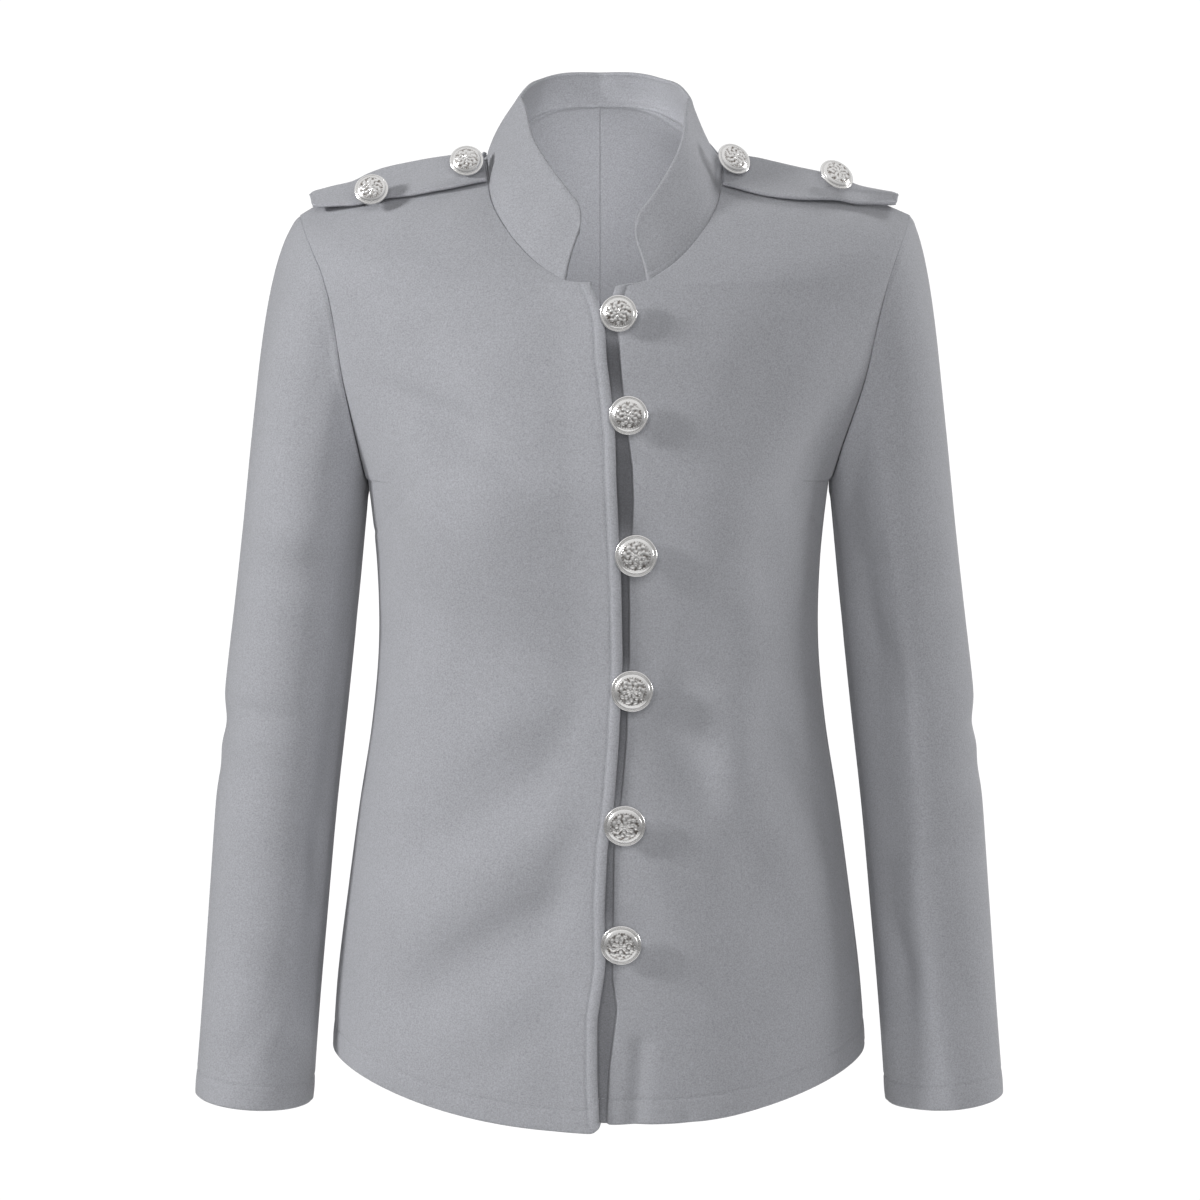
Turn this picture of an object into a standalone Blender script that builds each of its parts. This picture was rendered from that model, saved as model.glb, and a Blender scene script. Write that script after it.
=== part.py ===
"""Woman's military jacket: stand collar, shoulder straps and ten domed shank buttons.

The wearer's right is at -X, the front faces -Y and up is +Z. The origin is midway between
the shoulders, where the wearer carries the jacket. Every size below is in millimetres.

Each panel is a grid: its rows run from the hem up to the shoulder seam, and its columns from
the front edge or the middle back out to the side seam and the armhole. A grid of outer points
and the same grid moved in by the cloth's thickness make one closed wall.
"""

from typing import NamedTuple

import bmesh
import bpy
import numpy as np
from mathutils.bvhtree import BVHTree

MM = 0.001

CLOTH_THICKNESS = 2.0
SEAM_GAP = 0.3
RIGHT, LEFT = -1, 1  # the wearer's sides, as signs of X
FRONT, BACK = -1, 1  # as signs of Y

CLOTH_COLOUR = (0.35, 0.355, 0.375, 1.0)
METAL_COLOUR = (0.80, 0.77, 0.72, 1.0)


# Body -----------------------------------------------------------------------------------------


class SideRow(NamedTuple):
    """One row's outer end, on the side seam and then round the armhole to the shoulder."""

    height: float
    half_width: float
    middle_x: float  # how far the row's middle lies to the wearer's left
    middle_y: float  # how far its side or shoulder seam lies behind the origin


SIDE_ROWS = (
    SideRow(height=-558, half_width=174.0, middle_x=-0.8, middle_y=0),
    SideRow(height=-508, half_width=169.6, middle_x=-1.2, middle_y=0),
    SideRow(height=-450, half_width=162.0, middle_x=-1.2, middle_y=0),
    SideRow(height=-397, half_width=154.5, middle_x=-1.2, middle_y=0),
    SideRow(height=-344, half_width=146.0, middle_x=-1.2, middle_y=0),
    SideRow(height=-292, half_width=141.2, middle_x=-1.2, middle_y=0),
    SideRow(height=-240, half_width=142.0, middle_x=-1.2, middle_y=0),
    SideRow(height=-190, half_width=147.0, middle_x=-1.2, middle_y=0),
    SideRow(height=-184, half_width=149.0, middle_x=-0.8, middle_y=0),
    SideRow(height=-163, half_width=153.5, middle_x=0.0, middle_y=0),
    SideRow(height=-122, half_width=164.0, middle_x=2.4, middle_y=0),
    SideRow(height=-88, half_width=170.5, middle_x=3.6, middle_y=0),
    SideRow(height=-70, half_width=174.3, middle_x=4.0, middle_y=0),
    SideRow(height=-54, half_width=179.0, middle_x=3.9, middle_y=0),
    SideRow(height=-40, half_width=185.0, middle_x=3.4, middle_y=2),
    SideRow(height=-29, half_width=190.3, middle_x=3.2, middle_y=5),
    SideRow(height=-19, half_width=195.0, middle_x=3.2, middle_y=8),
)


class PanelRow(NamedTuple):
    """The rest of a row, from its inner end out to the side."""

    height: float  # at the inner end
    neck_x: float  # half the neckline's width; 0 on an edge
    depth: float  # from the side seam's plane to the front or the back
    armhole_depth: float  # from that plane to the armhole
    squareness: float  # exponent of the row's superellipse
    bend: float  # exponent of the row's rise or fall towards the side


SHOULDER_BEND = {RIGHT: 2.15, LEFT: 1.55}  # the same exponent along each shoulder seam
MIDDLE_EASE = 0.12  # the back's rows are level this far across, as a share of their width
NAPE_POWER = 3.2  # the back neckline falls from the nape as this power of the way to its side
# The back rises to the neck on each side of the nape.
NECK_RISE, NECK_RISE_X, NECK_RISE_WIDTH, NECK_RISE_ROWS = 6.5, 38.0, 26.0, 1.1
NECK_DROP = 0.05  # the collar row lies at least this share of x below the neckline

FRONT_ROWS = (
    PanelRow(height=-588, neck_x=0, depth=112, armhole_depth=0, squareness=2.2, bend=2.0),
    PanelRow(height=-524, neck_x=0, depth=111, armhole_depth=0, squareness=2.2, bend=1.6),
    PanelRow(height=-459, neck_x=0, depth=108, armhole_depth=0, squareness=2.3, bend=1.6),
    PanelRow(height=-402, neck_x=0, depth=104, armhole_depth=0, squareness=2.4, bend=1.6),
    PanelRow(height=-346, neck_x=0, depth=100, armhole_depth=0, squareness=2.45, bend=1.6),
    PanelRow(height=-292, neck_x=0, depth=99, armhole_depth=0, squareness=2.45, bend=1.6),
    PanelRow(height=-240, neck_x=0, depth=106, armhole_depth=0, squareness=2.4, bend=1.6),
    PanelRow(height=-190, neck_x=0, depth=113, armhole_depth=0, squareness=2.3, bend=1.6),
    PanelRow(height=-168, neck_x=0, depth=113, armhole_depth=15, squareness=2.25, bend=1.6),
    PanelRow(height=-138, neck_x=0, depth=111, armhole_depth=31, squareness=2.2, bend=1.6),
    PanelRow(height=-104, neck_x=0, depth=104, armhole_depth=42, squareness=2.1, bend=1.6),
    PanelRow(height=-77, neck_x=0, depth=96, armhole_depth=42, squareness=2.05, bend=1.6),
    PanelRow(height=-62, neck_x=0, depth=90, armhole_depth=41, squareness=2.0, bend=1.6),
    PanelRow(height=-56.5, neck_x=25, depth=87, armhole_depth=37, squareness=2.0, bend=1.5),
    PanelRow(height=-40, neck_x=49, depth=77, armhole_depth=30, squareness=2.0, bend=1.5),
    PanelRow(height=-13, neck_x=69, depth=53, armhole_depth=18, squareness=2.0, bend=1.4),
    PanelRow(height=15, neck_x=76, depth=0, armhole_depth=0, squareness=2.0, bend=1.4),
)

BACK_ROWS = (
    PanelRow(height=-586, neck_x=0, depth=110, armhole_depth=0, squareness=2.5, bend=1.6),
    PanelRow(height=-522, neck_x=0, depth=110, armhole_depth=0, squareness=2.5, bend=1.6),
    PanelRow(height=-458, neck_x=0, depth=106, armhole_depth=0, squareness=2.5, bend=1.6),
    PanelRow(height=-402, neck_x=0, depth=98, armhole_depth=0, squareness=2.5, bend=1.6),
    PanelRow(height=-346, neck_x=0, depth=88, armhole_depth=0, squareness=2.5, bend=1.6),
    PanelRow(height=-292, neck_x=0, depth=82, armhole_depth=0, squareness=2.5, bend=1.6),
    PanelRow(height=-240, neck_x=0, depth=85, armhole_depth=0, squareness=2.5, bend=1.6),
    PanelRow(height=-190, neck_x=0, depth=93, armhole_depth=0, squareness=2.5, bend=1.6),
    PanelRow(height=-165, neck_x=0, depth=98, armhole_depth=13, squareness=2.45, bend=1.6),
    PanelRow(height=-130, neck_x=0, depth=103, armhole_depth=26, squareness=2.4, bend=1.6),
    PanelRow(height=-88, neck_x=0, depth=106, armhole_depth=36, squareness=2.3, bend=1.6),
    PanelRow(height=-48, neck_x=0, depth=103, armhole_depth=38, squareness=2.2, bend=1.6),
    PanelRow(height=-12, neck_x=0, depth=95, armhole_depth=36, squareness=2.1, bend=1.6),
    PanelRow(height=22, neck_x=0, depth=81, armhole_depth=31, squareness=2.0, bend=1.2),
    PanelRow(height=51, neck_x=0, depth=60, armhole_depth=24, squareness=2.0, bend=0.9),
    PanelRow(height=45, neck_x=46, depth=50, armhole_depth=14, squareness=2.0, bend=0.75),
    PanelRow(height=15, neck_x=76, depth=0, armhole_depth=0, squareness=2.0, bend=1.4),
)

UNDERARM_ROW = 7
COLLAR_ROW_FRONT = 13  # where the collar's front end is sewn on
COLLAR_ROW_BACK = 14  # the middle of the back neckline
SHOULDER_ROW = 16

# How many rows the mesh has between one row of the tables and the next.
ROW_STEPS = (2, 2, 2, 2, 2, 2, 2, 1, 1, 2, 1, 2, 2, 2, 3, 3)

# Places of the columns, as shares of a quarter turn from the inner end out to the side.
FRONT_COLUMNS = np.array([0, 0.012, 0.03, 0.06, 0.11, 0.18, 0.27, 0.37, 0.48, 0.60, 0.73, 0.87, 1])
BACK_COLUMNS = np.array([0, 0.015, 0.04, 0.08, 0.14, 0.22, 0.31, 0.41, 0.52, 0.64, 0.76, 0.88, 1])
TURN_POWER = 0.8  # spreads the columns evenly round the body's side


class EdgeRow(NamedTuple):
    """The two front edges at one height."""

    height: float
    right_x: float  # the wearer's right front, which laps over
    left_x: float  # the wearer's left front, which lies under it


EDGE_ROWS = (
    EdgeRow(height=-592, right_x=0.6, left_x=-10),
    EdgeRow(height=-554, right_x=-1.2, left_x=-10),
    EdgeRow(height=-515, right_x=-1.2, left_x=-10),
    EdgeRow(height=-491, right_x=2.5, left_x=-10),
    EdgeRow(height=-480, right_x=4.0, left_x=-10),
    EdgeRow(height=-445, right_x=3.3, left_x=-10),
    EdgeRow(height=-407, right_x=5.2, left_x=-10),
    EdgeRow(height=-381, right_x=9.1, left_x=-10),
    EdgeRow(height=-345, right_x=11.9, left_x=-10),
    EdgeRow(height=-293, right_x=14.5, left_x=-10),
    EdgeRow(height=-238, right_x=13.4, left_x=-10),
    EdgeRow(height=-202, right_x=11.6, left_x=-10),
    EdgeRow(height=-177, right_x=10.4, left_x=-10),
    EdgeRow(height=-150, right_x=9.8, left_x=-10),
    EdgeRow(height=-125, right_x=7.3, left_x=-10),
    EdgeRow(height=-104, right_x=4.5, left_x=-9),
    EdgeRow(height=-85, right_x=3.7, left_x=-4),
    EdgeRow(height=-75, right_x=2.2, left_x=5),
    EdgeRow(height=-68, right_x=-1.5, left_x=6),
    EdgeRow(height=-63, right_x=-4.0, left_x=8),
    EdgeRow(height=-58, right_x=-9.0, left_x=11),
)

LAP_LIFT = 3.2  # the right front's edge stands this far off the body
LAP_LIFT_WIDTH = 34.0
LAP_PRESS = 1.8  # the left front is pressed in as far as this beneath it
LAP_PRESS_WIDTH = 9.0
LAP_PRESS_BEYOND = 9.0  # and beyond the right front's edge by this much
LAP_PRESS_TOP, LAP_PRESS_FADE = -75.0, 25.0
FOLD_END_X, FOLD_FADE = -8.0, 30.0  # the right front's folds end beside the lap
TOP_CORNER_RISE, TOP_CORNER_WIDTH = 3.5, 40.0  # the right front's upper corner is higher
LEFT_HEM_RISE = 5.0  # the left front ends this much higher at its edge
LEFT_HEM_FADE = 90.0
HEM_CORNER = 8.0
SIDE_CALM, SIDE_CALM_WIDTH = 4.0, 40.0  # no fold within the first of the side seam's plane
BACK_SEAM_HALF_GAP = SEAM_GAP / 2
LEAST_DEPTH = 1e-6
MOST_ARMHOLE_SHARE = 0.9  # of a row's depth

BUST_X, BUST_HEIGHT = 84.0, -204.0
BUST_FULLNESS, BUST_WIDTH, BUST_TALLNESS = 7.0, 46.0, 52.0


class Fold(NamedTuple):
    """A soft trough (depth above 0) or ridge (below 0) along a straight line of a panel."""

    x_top: float
    height_top: float
    x_bottom: float
    height_bottom: float
    width: float
    depth: float


FRONT_FOLDS = {
    RIGHT: (
        Fold(x_top=-6, height_top=-340, x_bottom=-134, height_bottom=-430, width=24, depth=4.5),
        Fold(x_top=-10, height_top=-440, x_bottom=-116, height_bottom=-512, width=26, depth=4.5),
        Fold(x_top=-20, height_top=-398, x_bottom=-130, height_bottom=-474, width=22, depth=-2.5),
        Fold(x_top=-110, height_top=-95, x_bottom=-85, height_bottom=-150, width=22, depth=3.0),
    ),
    LEFT: (
        Fold(x_top=95, height_top=-270, x_bottom=78, height_bottom=-410, width=26, depth=-3.5),
        Fold(x_top=45, height_top=-330, x_bottom=120, height_bottom=-480, width=26, depth=4.5),
        Fold(x_top=26, height_top=-535, x_bottom=22, height_bottom=-590, width=9, depth=2.0),
        Fold(x_top=108, height_top=-95, x_bottom=88, height_bottom=-150, width=22, depth=2.5),
    ),
}
BACK_FOLDS = {
    RIGHT: (
        Fold(x_top=-55, height_top=-255, x_bottom=-130, height_bottom=-330, width=20, depth=3.5),
        Fold(x_top=-40, height_top=-420, x_bottom=-70, height_bottom=-580, width=24, depth=-4.5),
    ),
    LEFT: (
        Fold(x_top=50, height_top=-262, x_bottom=128, height_bottom=-322, width=18, depth=3.5),
        Fold(x_top=62, height_top=-430, x_bottom=92, height_bottom=-580, width=26, depth=-4.5),
    ),
}


def smooth_step(value):
    """0 below 0, 1 above 1 and a smooth rise between."""
    value = np.clip(value, 0, 1)
    return value * value * (3 - 2 * value)


def rows_at(table, places):
    """The table's columns at places counted in rows, on a smooth curve through its rows."""
    table = np.array(table, float)
    last = len(table) - 1
    below = np.clip(np.floor(places).astype(int), 0, last - 1)
    share = (places - below)[:, None]
    slopes = np.gradient(table, axis=0)
    start, end = table[below], table[below + 1]
    start_slope, end_slope = slopes[below], slopes[below + 1]
    return (
        start * (1 + 2 * share) * (1 - share) ** 2
        + start_slope * share * (1 - share) ** 2
        + end * share**2 * (3 - 2 * share)
        + end_slope * share**2 * (share - 1)
    )


def edge_x(heights, side):
    """X of a front edge at these heights."""
    table = np.array(EDGE_ROWS)
    column = 1 if side == RIGHT else 2
    return np.interp(heights, table[:, 0], table[:, column])


def fold_depth(x, height, folds):
    """How far folds push the cloth in: a bell across each line, fading past its two ends."""
    total = np.zeros_like(x)
    for fold in folds:
        along = np.array([fold.x_bottom - fold.x_top, fold.height_bottom - fold.height_top], float)
        length = np.hypot(*along)
        along /= length
        from_top = np.stack([x - fold.x_top, height - fold.height_top])
        distance = along[0] * from_top[0] + along[1] * from_top[1]
        across = along[0] * from_top[1] - along[1] * from_top[0]
        past_end = np.maximum(np.maximum(-distance, distance - length), 0)
        total += fold.depth * np.exp(-(across**2 + past_end**2) / (2 * (fold.width / 2) ** 2))
    return total


def lap_offset(x, height, side):
    """How far out the cloth lies at the front closure, where the right front laps the left."""
    lap_edge = edge_x(height, RIGHT)
    if side == RIGHT:
        return LAP_LIFT * smooth_step(1 + (x - lap_edge) / LAP_LIFT_WIDTH)
    pressed = smooth_step((lap_edge + LAP_PRESS_BEYOND - x) / LAP_PRESS_WIDTH)
    below_collar = smooth_step((LAP_PRESS_TOP - height) / LAP_PRESS_FADE)
    return -LAP_PRESS * pressed * below_collar


def eased_power(way, power):
    """way to a power, from 0 to 1, but level at 0."""
    ease, most = MIDDLE_EASE**power, (1 + MIDDLE_EASE**2) ** (power / 2)
    return ((way**2 + MIDDLE_EASE**2) ** (power / 2) - ease) / (most - ease)


def back_heights(side, places, from_middle, width, height_in, side_height, bend):
    """Heights of the back at distances from its middle.

    Up to the collar row a row falls from the middle to the side as a power of the way, and
    rises a little beside the nape. From there it passes evenly, at each distance from the
    middle, to the neckline or the shoulder seam.
    """
    top, seam = BACK_ROWS[COLLAR_ROW_BACK], BACK_ROWS[SHOULDER_ROW]
    top_side, seam_side = SIDE_ROWS[COLLAR_ROW_BACK], SIDE_ROWS[SHOULDER_ROW]
    below = places[:, None] - COLLAR_ROW_BACK
    row = height_in + (side_height - height_in) * eased_power(from_middle / width, bend)
    falling = eased_power(from_middle / top_side.half_width, top.bend)
    lower = top.height + (top_side.height - top.height) * falling

    fallen = np.clip(from_middle / seam.neck_x, 0, 1) ** NAPE_POWER
    neckline = seam.height + (top.height - seam.height) * (1 - fallen)
    way = np.clip((from_middle - seam.neck_x) / (seam_side.half_width - seam.neck_x), 0, 1)
    shoulder = seam.height + (seam_side.height - seam.height) * way ** SHOULDER_BEND[side]
    upper = np.where(from_middle < seam.neck_x, neckline, shoulder)
    rise = NECK_RISE * np.exp(-(((from_middle - NECK_RISE_X) / NECK_RISE_WIDTH) ** 2))
    rise = np.clip(upper - NECK_DROP * from_middle - lower, 0, rise)
    rise = rise * np.exp(-((np.minimum(below, 0) / NECK_RISE_ROWS) ** 2))
    fine = np.linspace(COLLAR_ROW_BACK, SHOULDER_ROW, 81)
    neck_x = rows_at(BACK_ROWS, fine)[:, 1]
    ends_at = np.interp(from_middle, np.maximum.accumulate(neck_x), fine) - COLLAR_ROW_BACK
    share = np.clip(below / np.maximum(ends_at, LEAST_DEPTH), 0, 1)
    yoke = lower + rise + (upper - lower - rise) * share
    return np.where(below > 0, yoke, row + rise)


def panel_place(face, side, places, across):
    """Points of a panel's outer surface.

    A row is a superellipse arc from the inner end to the side seam or the armhole, cut off
    where its depth is the armhole's: y = middle + depth * (1 - (x / width)^n)^(1/n). Its
    height runs from the inner end's to the side's as a power of the way across.
    """
    side_rows = rows_at(SIDE_ROWS, places)
    rows = rows_at(FRONT_ROWS if face == FRONT else BACK_ROWS, places)
    side_height, half_width, middle_x, middle_y = side_rows.T[:, :, None]
    height_in, neck_x, depth, armhole, squareness, bend = rows.T[:, :, None]
    on_seam = (places <= UNDERARM_ROW)[:, None]
    to_shoulder = np.clip(places - SHOULDER_ROW + 1, 0, 1)[:, None]
    bend = bend + (SHOULDER_BEND[side] - bend) * to_shoulder
    armhole = np.where(on_seam, 0, np.maximum(armhole, 0))
    depth = np.maximum(depth, LEAST_DEPTH)
    edge_depth = np.minimum(armhole / depth, MOST_ARMHOLE_SHARE)
    end = (1 - edge_depth**squareness) ** (1 / squareness)
    width = half_width / end
    collar_row = COLLAR_ROW_FRONT if face == FRONT else COLLAR_ROW_BACK
    if face == FRONT:
        own_edge = side * edge_x(height_in, side) - side * middle_x
        to_neck = np.clip(places - (collar_row - 1), 0, 1)[:, None]
        inner = own_edge * (1 - to_neck) + neck_x * to_neck
        inner = np.where((places > collar_row)[:, None], neck_x, inner)
    else:
        inner = np.where((places > collar_row)[:, None], neck_x, BACK_SEAM_HALF_GAP)
        inner = np.maximum(inner, BACK_SEAM_HALF_GAP)
        middle_x = middle_x * smooth_step((places[:, None] - collar_row) / 2)
    start = inner / width
    way = across[None, :] if across.ndim == 1 else across
    share = start + (end - start) * way
    curve = (1 - np.clip(np.abs(share), 0, 1) ** squareness) ** (1 / squareness)
    x = side * share * width + middle_x
    y = middle_y + face * depth * curve
    if face == FRONT:
        return x, y, height_in + (side_height - height_in) * way**bend
    height = back_heights(side, places, share * width, half_width, height_in, side_height, bend)
    return x, y, height


def dressed(face, side, places, across):
    """panel_place with the bust, the folds, the lap and the hem's corner added."""
    x, y, height = panel_place(face, side, places, across)
    off_seam = smooth_step((np.abs(y) - SIDE_CALM) / SIDE_CALM_WIDTH)
    below_neck = smooth_step((SHOULDER_ROW - 2 - places) / 2)[:, None]
    if face == BACK:
        y = y - fold_depth(x, height, BACK_FOLDS[side]) * off_seam * below_neck
        return x, y, height
    bust = BUST_FULLNESS * np.exp(
        -(((np.abs(x) - BUST_X) / BUST_WIDTH) ** 2) - ((height - BUST_HEIGHT) / BUST_TALLNESS) ** 2
    )
    folds = fold_depth(x, height, FRONT_FOLDS[side])
    if side == RIGHT:
        folds = folds * smooth_step((FOLD_END_X - x) / FOLD_FADE)
    y = y - (bust - folds) * off_seam * below_neck
    y = y - lap_offset(x, height, side) * below_neck
    hem_share = np.clip(1 - places / 2, 0, 1)[:, None]
    if side == LEFT:
        height = height + LEFT_HEM_RISE * hem_share * (1 - smooth_step(x / LEFT_HEM_FADE))
    else:
        at_corner = np.clip(1 - np.abs(places - COLLAR_ROW_FRONT + 1), 0, 1)[:, None]
        height = height + TOP_CORNER_RISE * at_corner * smooth_step(1 + x / TOP_CORNER_WIDTH)
    from_edge = np.clip(np.abs(x - edge_x(height, side)), 0, HEM_CORNER)
    rounding = HEM_CORNER - np.sqrt(HEM_CORNER**2 - (HEM_CORNER - from_edge) ** 2)
    if side == RIGHT:
        height = height + rounding * (places < 0.5)[:, None] * hem_share
    return x, y, height


def row_places():
    """The mesh's rows as places in the tables."""
    places = [0.0]
    for row, steps in enumerate(ROW_STEPS):
        places.extend(row + (np.arange(steps) + 1) / steps)
    return np.array(places)


def unit(vectors):
    return vectors / np.maximum(np.linalg.norm(vectors, axis=-1, keepdims=True), 1e-9)


def grid_normals(grid, around=False):
    """Unit normals of a grid of points: the cross product of its two directions."""
    if around:
        down_columns = np.roll(grid, -1, axis=1) - np.roll(grid, 1, axis=1)
    else:
        down_columns = np.gradient(grid, axis=1)
    return unit(np.cross(down_columns, np.gradient(grid, axis=0)))


def flattened(normals, axis):
    """Normals turned into the plane across an axis, so that both sides of a seam agree."""
    normals = normals.copy()
    normals[..., axis] = 0
    return unit(normals)


def panel_grids(face, side):
    """(outer points, inner points) of a panel."""
    places = row_places()
    columns = FRONT_COLUMNS if face == FRONT else BACK_COLUMNS
    quarter_turn = np.sin(columns * np.pi / 2) ** TURN_POWER
    outer = np.stack(dressed(face, side, places, quarter_turn), axis=-1)
    outer[..., 1] += face * SEAM_GAP / 2
    normals = grid_normals(outer)
    if (normals[:8, :, 1].mean() > 0) != (face > 0):
        normals = -normals
    seam_rows = places <= UNDERARM_ROW
    normals[seam_rows, -1] = flattened(normals[seam_rows, -1], 1)
    normals[-1] = flattened(normals[-1], 1)
    if face == BACK:
        middle_rows = places <= COLLAR_ROW_BACK
        normals[middle_rows, 0] = flattened(normals[middle_rows, 0], 0)
        neck_rows = (places > COLLAR_ROW_BACK) & (places < SHOULDER_ROW)
        normals[neck_rows, 0] = unit(normals[neck_rows, :4].sum(axis=1))
    return outer, outer - CLOTH_THICKNESS * normals


# Sleeves --------------------------------------------------------------------------------------


class SleeveRow(NamedTuple):
    """One level of a sleeve below the armhole."""

    height: float
    axis_x: float  # from the middle, on either side
    axis_y: float
    half_width: float
    half_depth: float


SLEEVE_ROWS = (
    SleeveRow(height=-215, axis_x=189.3, axis_y=0, half_width=39.0, half_depth=50),
    SleeveRow(height=-266, axis_x=195.0, axis_y=1, half_width=39.5, half_depth=48),
    SleeveRow(height=-331, axis_x=202.7, axis_y=2, half_width=40.0, half_depth=45),
    SleeveRow(height=-397, axis_x=209.5, axis_y=0, half_width=39.2, half_depth=43),
    SleeveRow(height=-463, axis_x=215.0, axis_y=-5, half_width=38.6, half_depth=41),
    SleeveRow(height=-530, axis_x=220.4, axis_y=-11, half_width=38.1, half_depth=39.5),
    SleeveRow(height=-589, axis_x=224.8, axis_y=-18, half_width=38.3, half_depth=38.5),
)

CAP_STEPS = 8
# The way the cap leaves the seam: out and down at the underarm, and how these change to the top.
CAP_OUT, CAP_FULLNESS = 0.06, {RIGHT: 0.32, LEFT: 0.19}
CAP_DOWN, CAP_DOWN_LESS = 0.85, 0.50
CAP_END_OUT, CAP_END_DOWN = 0.1, 0.95  # the way it meets the first level ring
SEAM_RING_TURNED = (1.0, 0.6)  # how far the first rings' walls stand along the seam
SLEEVES_MIDDLE_X = -0.5
SLEEVE_GAP, UNDERARM_GAP = 0.5, 1.5
SLEEVE_TILT = 0.07  # each level ring is this much higher on its outer side
SLEEVE_STEPS = 2  # rings from one row of the table to the next


class SleeveFold(NamedTuple):
    """A soft trough round part of a sleeve."""

    height: float
    width: float
    turn: float  # the side it faces, in turns from the body over the front
    depth: float


SLEEVE_FOLDS = (
    SleeveFold(height=-240, width=14, turn=0.20, depth=3.0),
    SleeveFold(height=-345, width=12, turn=0.50, depth=3.0),
    SleeveFold(height=-372, width=13, turn=0.42, depth=2.0),
    SleeveFold(height=-500, width=16, turn=0.15, depth=2.0),
)
SLEEVE_FOLD_TURNS = 0.13


def armhole_ring(side):
    """The armhole's outer points, from the underarm up the front, over and down the back.

    Also the way across the seam at each of them and the panel's own normal there.
    """
    places = row_places()
    first = int(np.argmin(np.abs(places - UNDERARM_ROW)))
    front, front_inner = panel_grids(FRONT, side)
    back, back_inner = panel_grids(BACK, side)
    parts = []
    for outer, inner in ((front, front_inner), (back, back_inner)):
        edge = outer[first:, -1]
        across = unit(outer[first:, -1] - outer[first:, -2])
        normal = unit(outer[first:, -1] - inner[first:, -1])
        parts.append(np.stack([edge, across, normal]))
    underarm = (parts[0][:, :1] + parts[1][:, :1]) / 2
    shoulder = (parts[0][:, -1:] + parts[1][:, -1:]) / 2
    ring = np.concatenate([underarm, parts[0][:, 1:-1], shoulder, parts[1][:, -2:0:-1]], axis=1)
    edge, across, normal = ring
    across[0] = (0, 0, 1)
    return edge, unit(across), unit(normal)


def sleeve_ring(height, axis_x, axis_y, half_width, half_depth, turns, side):
    """An ellipse whose point at turn 0 faces the body and at a quarter turn the front."""
    angle = turns * 2 * np.pi
    x = SLEEVES_MIDDLE_X + side * (axis_x - half_width * np.cos(angle))
    y = axis_y - half_depth * np.sin(angle)
    z = height - SLEEVE_TILT * half_width * np.cos(angle)
    return np.stack([x, y, z], axis=-1)


def sleeve_grids(side):
    """(outer, inner) rings of a sleeve.

    The cap is a cubic curve from each armhole point to the first level ring: it leaves the
    seam outwards and ends going down the arm.
    """
    edge, across, normal = armhole_ring(side)
    steps = np.linalg.norm(np.roll(edge, -1, axis=0) - edge, axis=1)
    turns = np.concatenate([[0], np.cumsum(steps)[:-1]]) / steps.sum()
    places = np.linspace(0, len(SLEEVE_ROWS) - 1, (len(SLEEVE_ROWS) - 1) * SLEEVE_STEPS + 1)
    rows = rows_at(SLEEVE_ROWS, places)
    level_rings = np.stack([sleeve_ring(*row, turns, side) for row in rows])
    first = level_rings[0]
    share_up = (edge[:, 2] - edge[:, 2].min()) / np.ptp(edge[:, 2])
    reach = np.linalg.norm(first - edge, axis=1)[:, None]
    out = (CAP_OUT + CAP_FULLNESS[side] * share_up)[:, None] * np.array([side, 0, 0])
    down = (CAP_DOWN - CAP_DOWN_LESS * share_up)[:, None] * np.array([0, 0, -1])
    start_way = (out + down) * reach
    end_way = np.array([side * CAP_END_OUT, 0, -CAP_END_DOWN]) * reach
    fold = ((1 - (normal * unit(edge - (edge.mean(axis=0)))).sum(axis=1)) / 2)[:, None]
    fold = np.clip(fold * (1 - share_up[:, None] * 2), 0, 1)
    seam = edge + SLEEVE_GAP * across + UNDERARM_GAP * fold * normal
    cap = []
    for share in np.linspace(0, 1, CAP_STEPS + 1)[:-1]:
        cap.append(
            seam * (1 + 2 * share) * (1 - share) ** 2
            + start_way * share * (1 - share) ** 2
            + first * share**2 * (3 - 2 * share)
            + end_way * share**2 * (share - 1)
        )
    outer = np.concatenate([np.stack(cap), level_rings])
    centre = outer.mean(axis=1, keepdims=True)
    inwards = centre - outer
    inwards[..., 2] = 0
    inwards = unit(inwards)
    for fold in SLEEVE_FOLDS:
        level = np.exp(-(((outer[..., 2] - fold.height) / fold.width) ** 2))
        faced = np.exp(-(((turns - fold.turn) / SLEEVE_FOLD_TURNS) ** 2))[None, :]
        outer = outer + inwards * (fold.depth * level * faced)[..., None]
    normals = grid_normals(outer, around=True)
    if (normals * inwards).sum(axis=-1).mean() > 0:
        normals = -normals
    for ring, share in enumerate(SEAM_RING_TURNED):
        towards_panel = np.maximum((normals[ring] * across).sum(axis=-1, keepdims=True), 0)
        normals[ring] = unit(normals[ring] - share * towards_panel * across)
    return outer, outer - CLOTH_THICKNESS * normals


# Collar ---------------------------------------------------------------------------------------


class CollarRow(NamedTuple):
    """The collar's top edge against its neckline, at one place along the neckline."""

    to_middle: float
    backwards: float
    rise: float
    power: float  # the lean grows as this power of the way up


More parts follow.
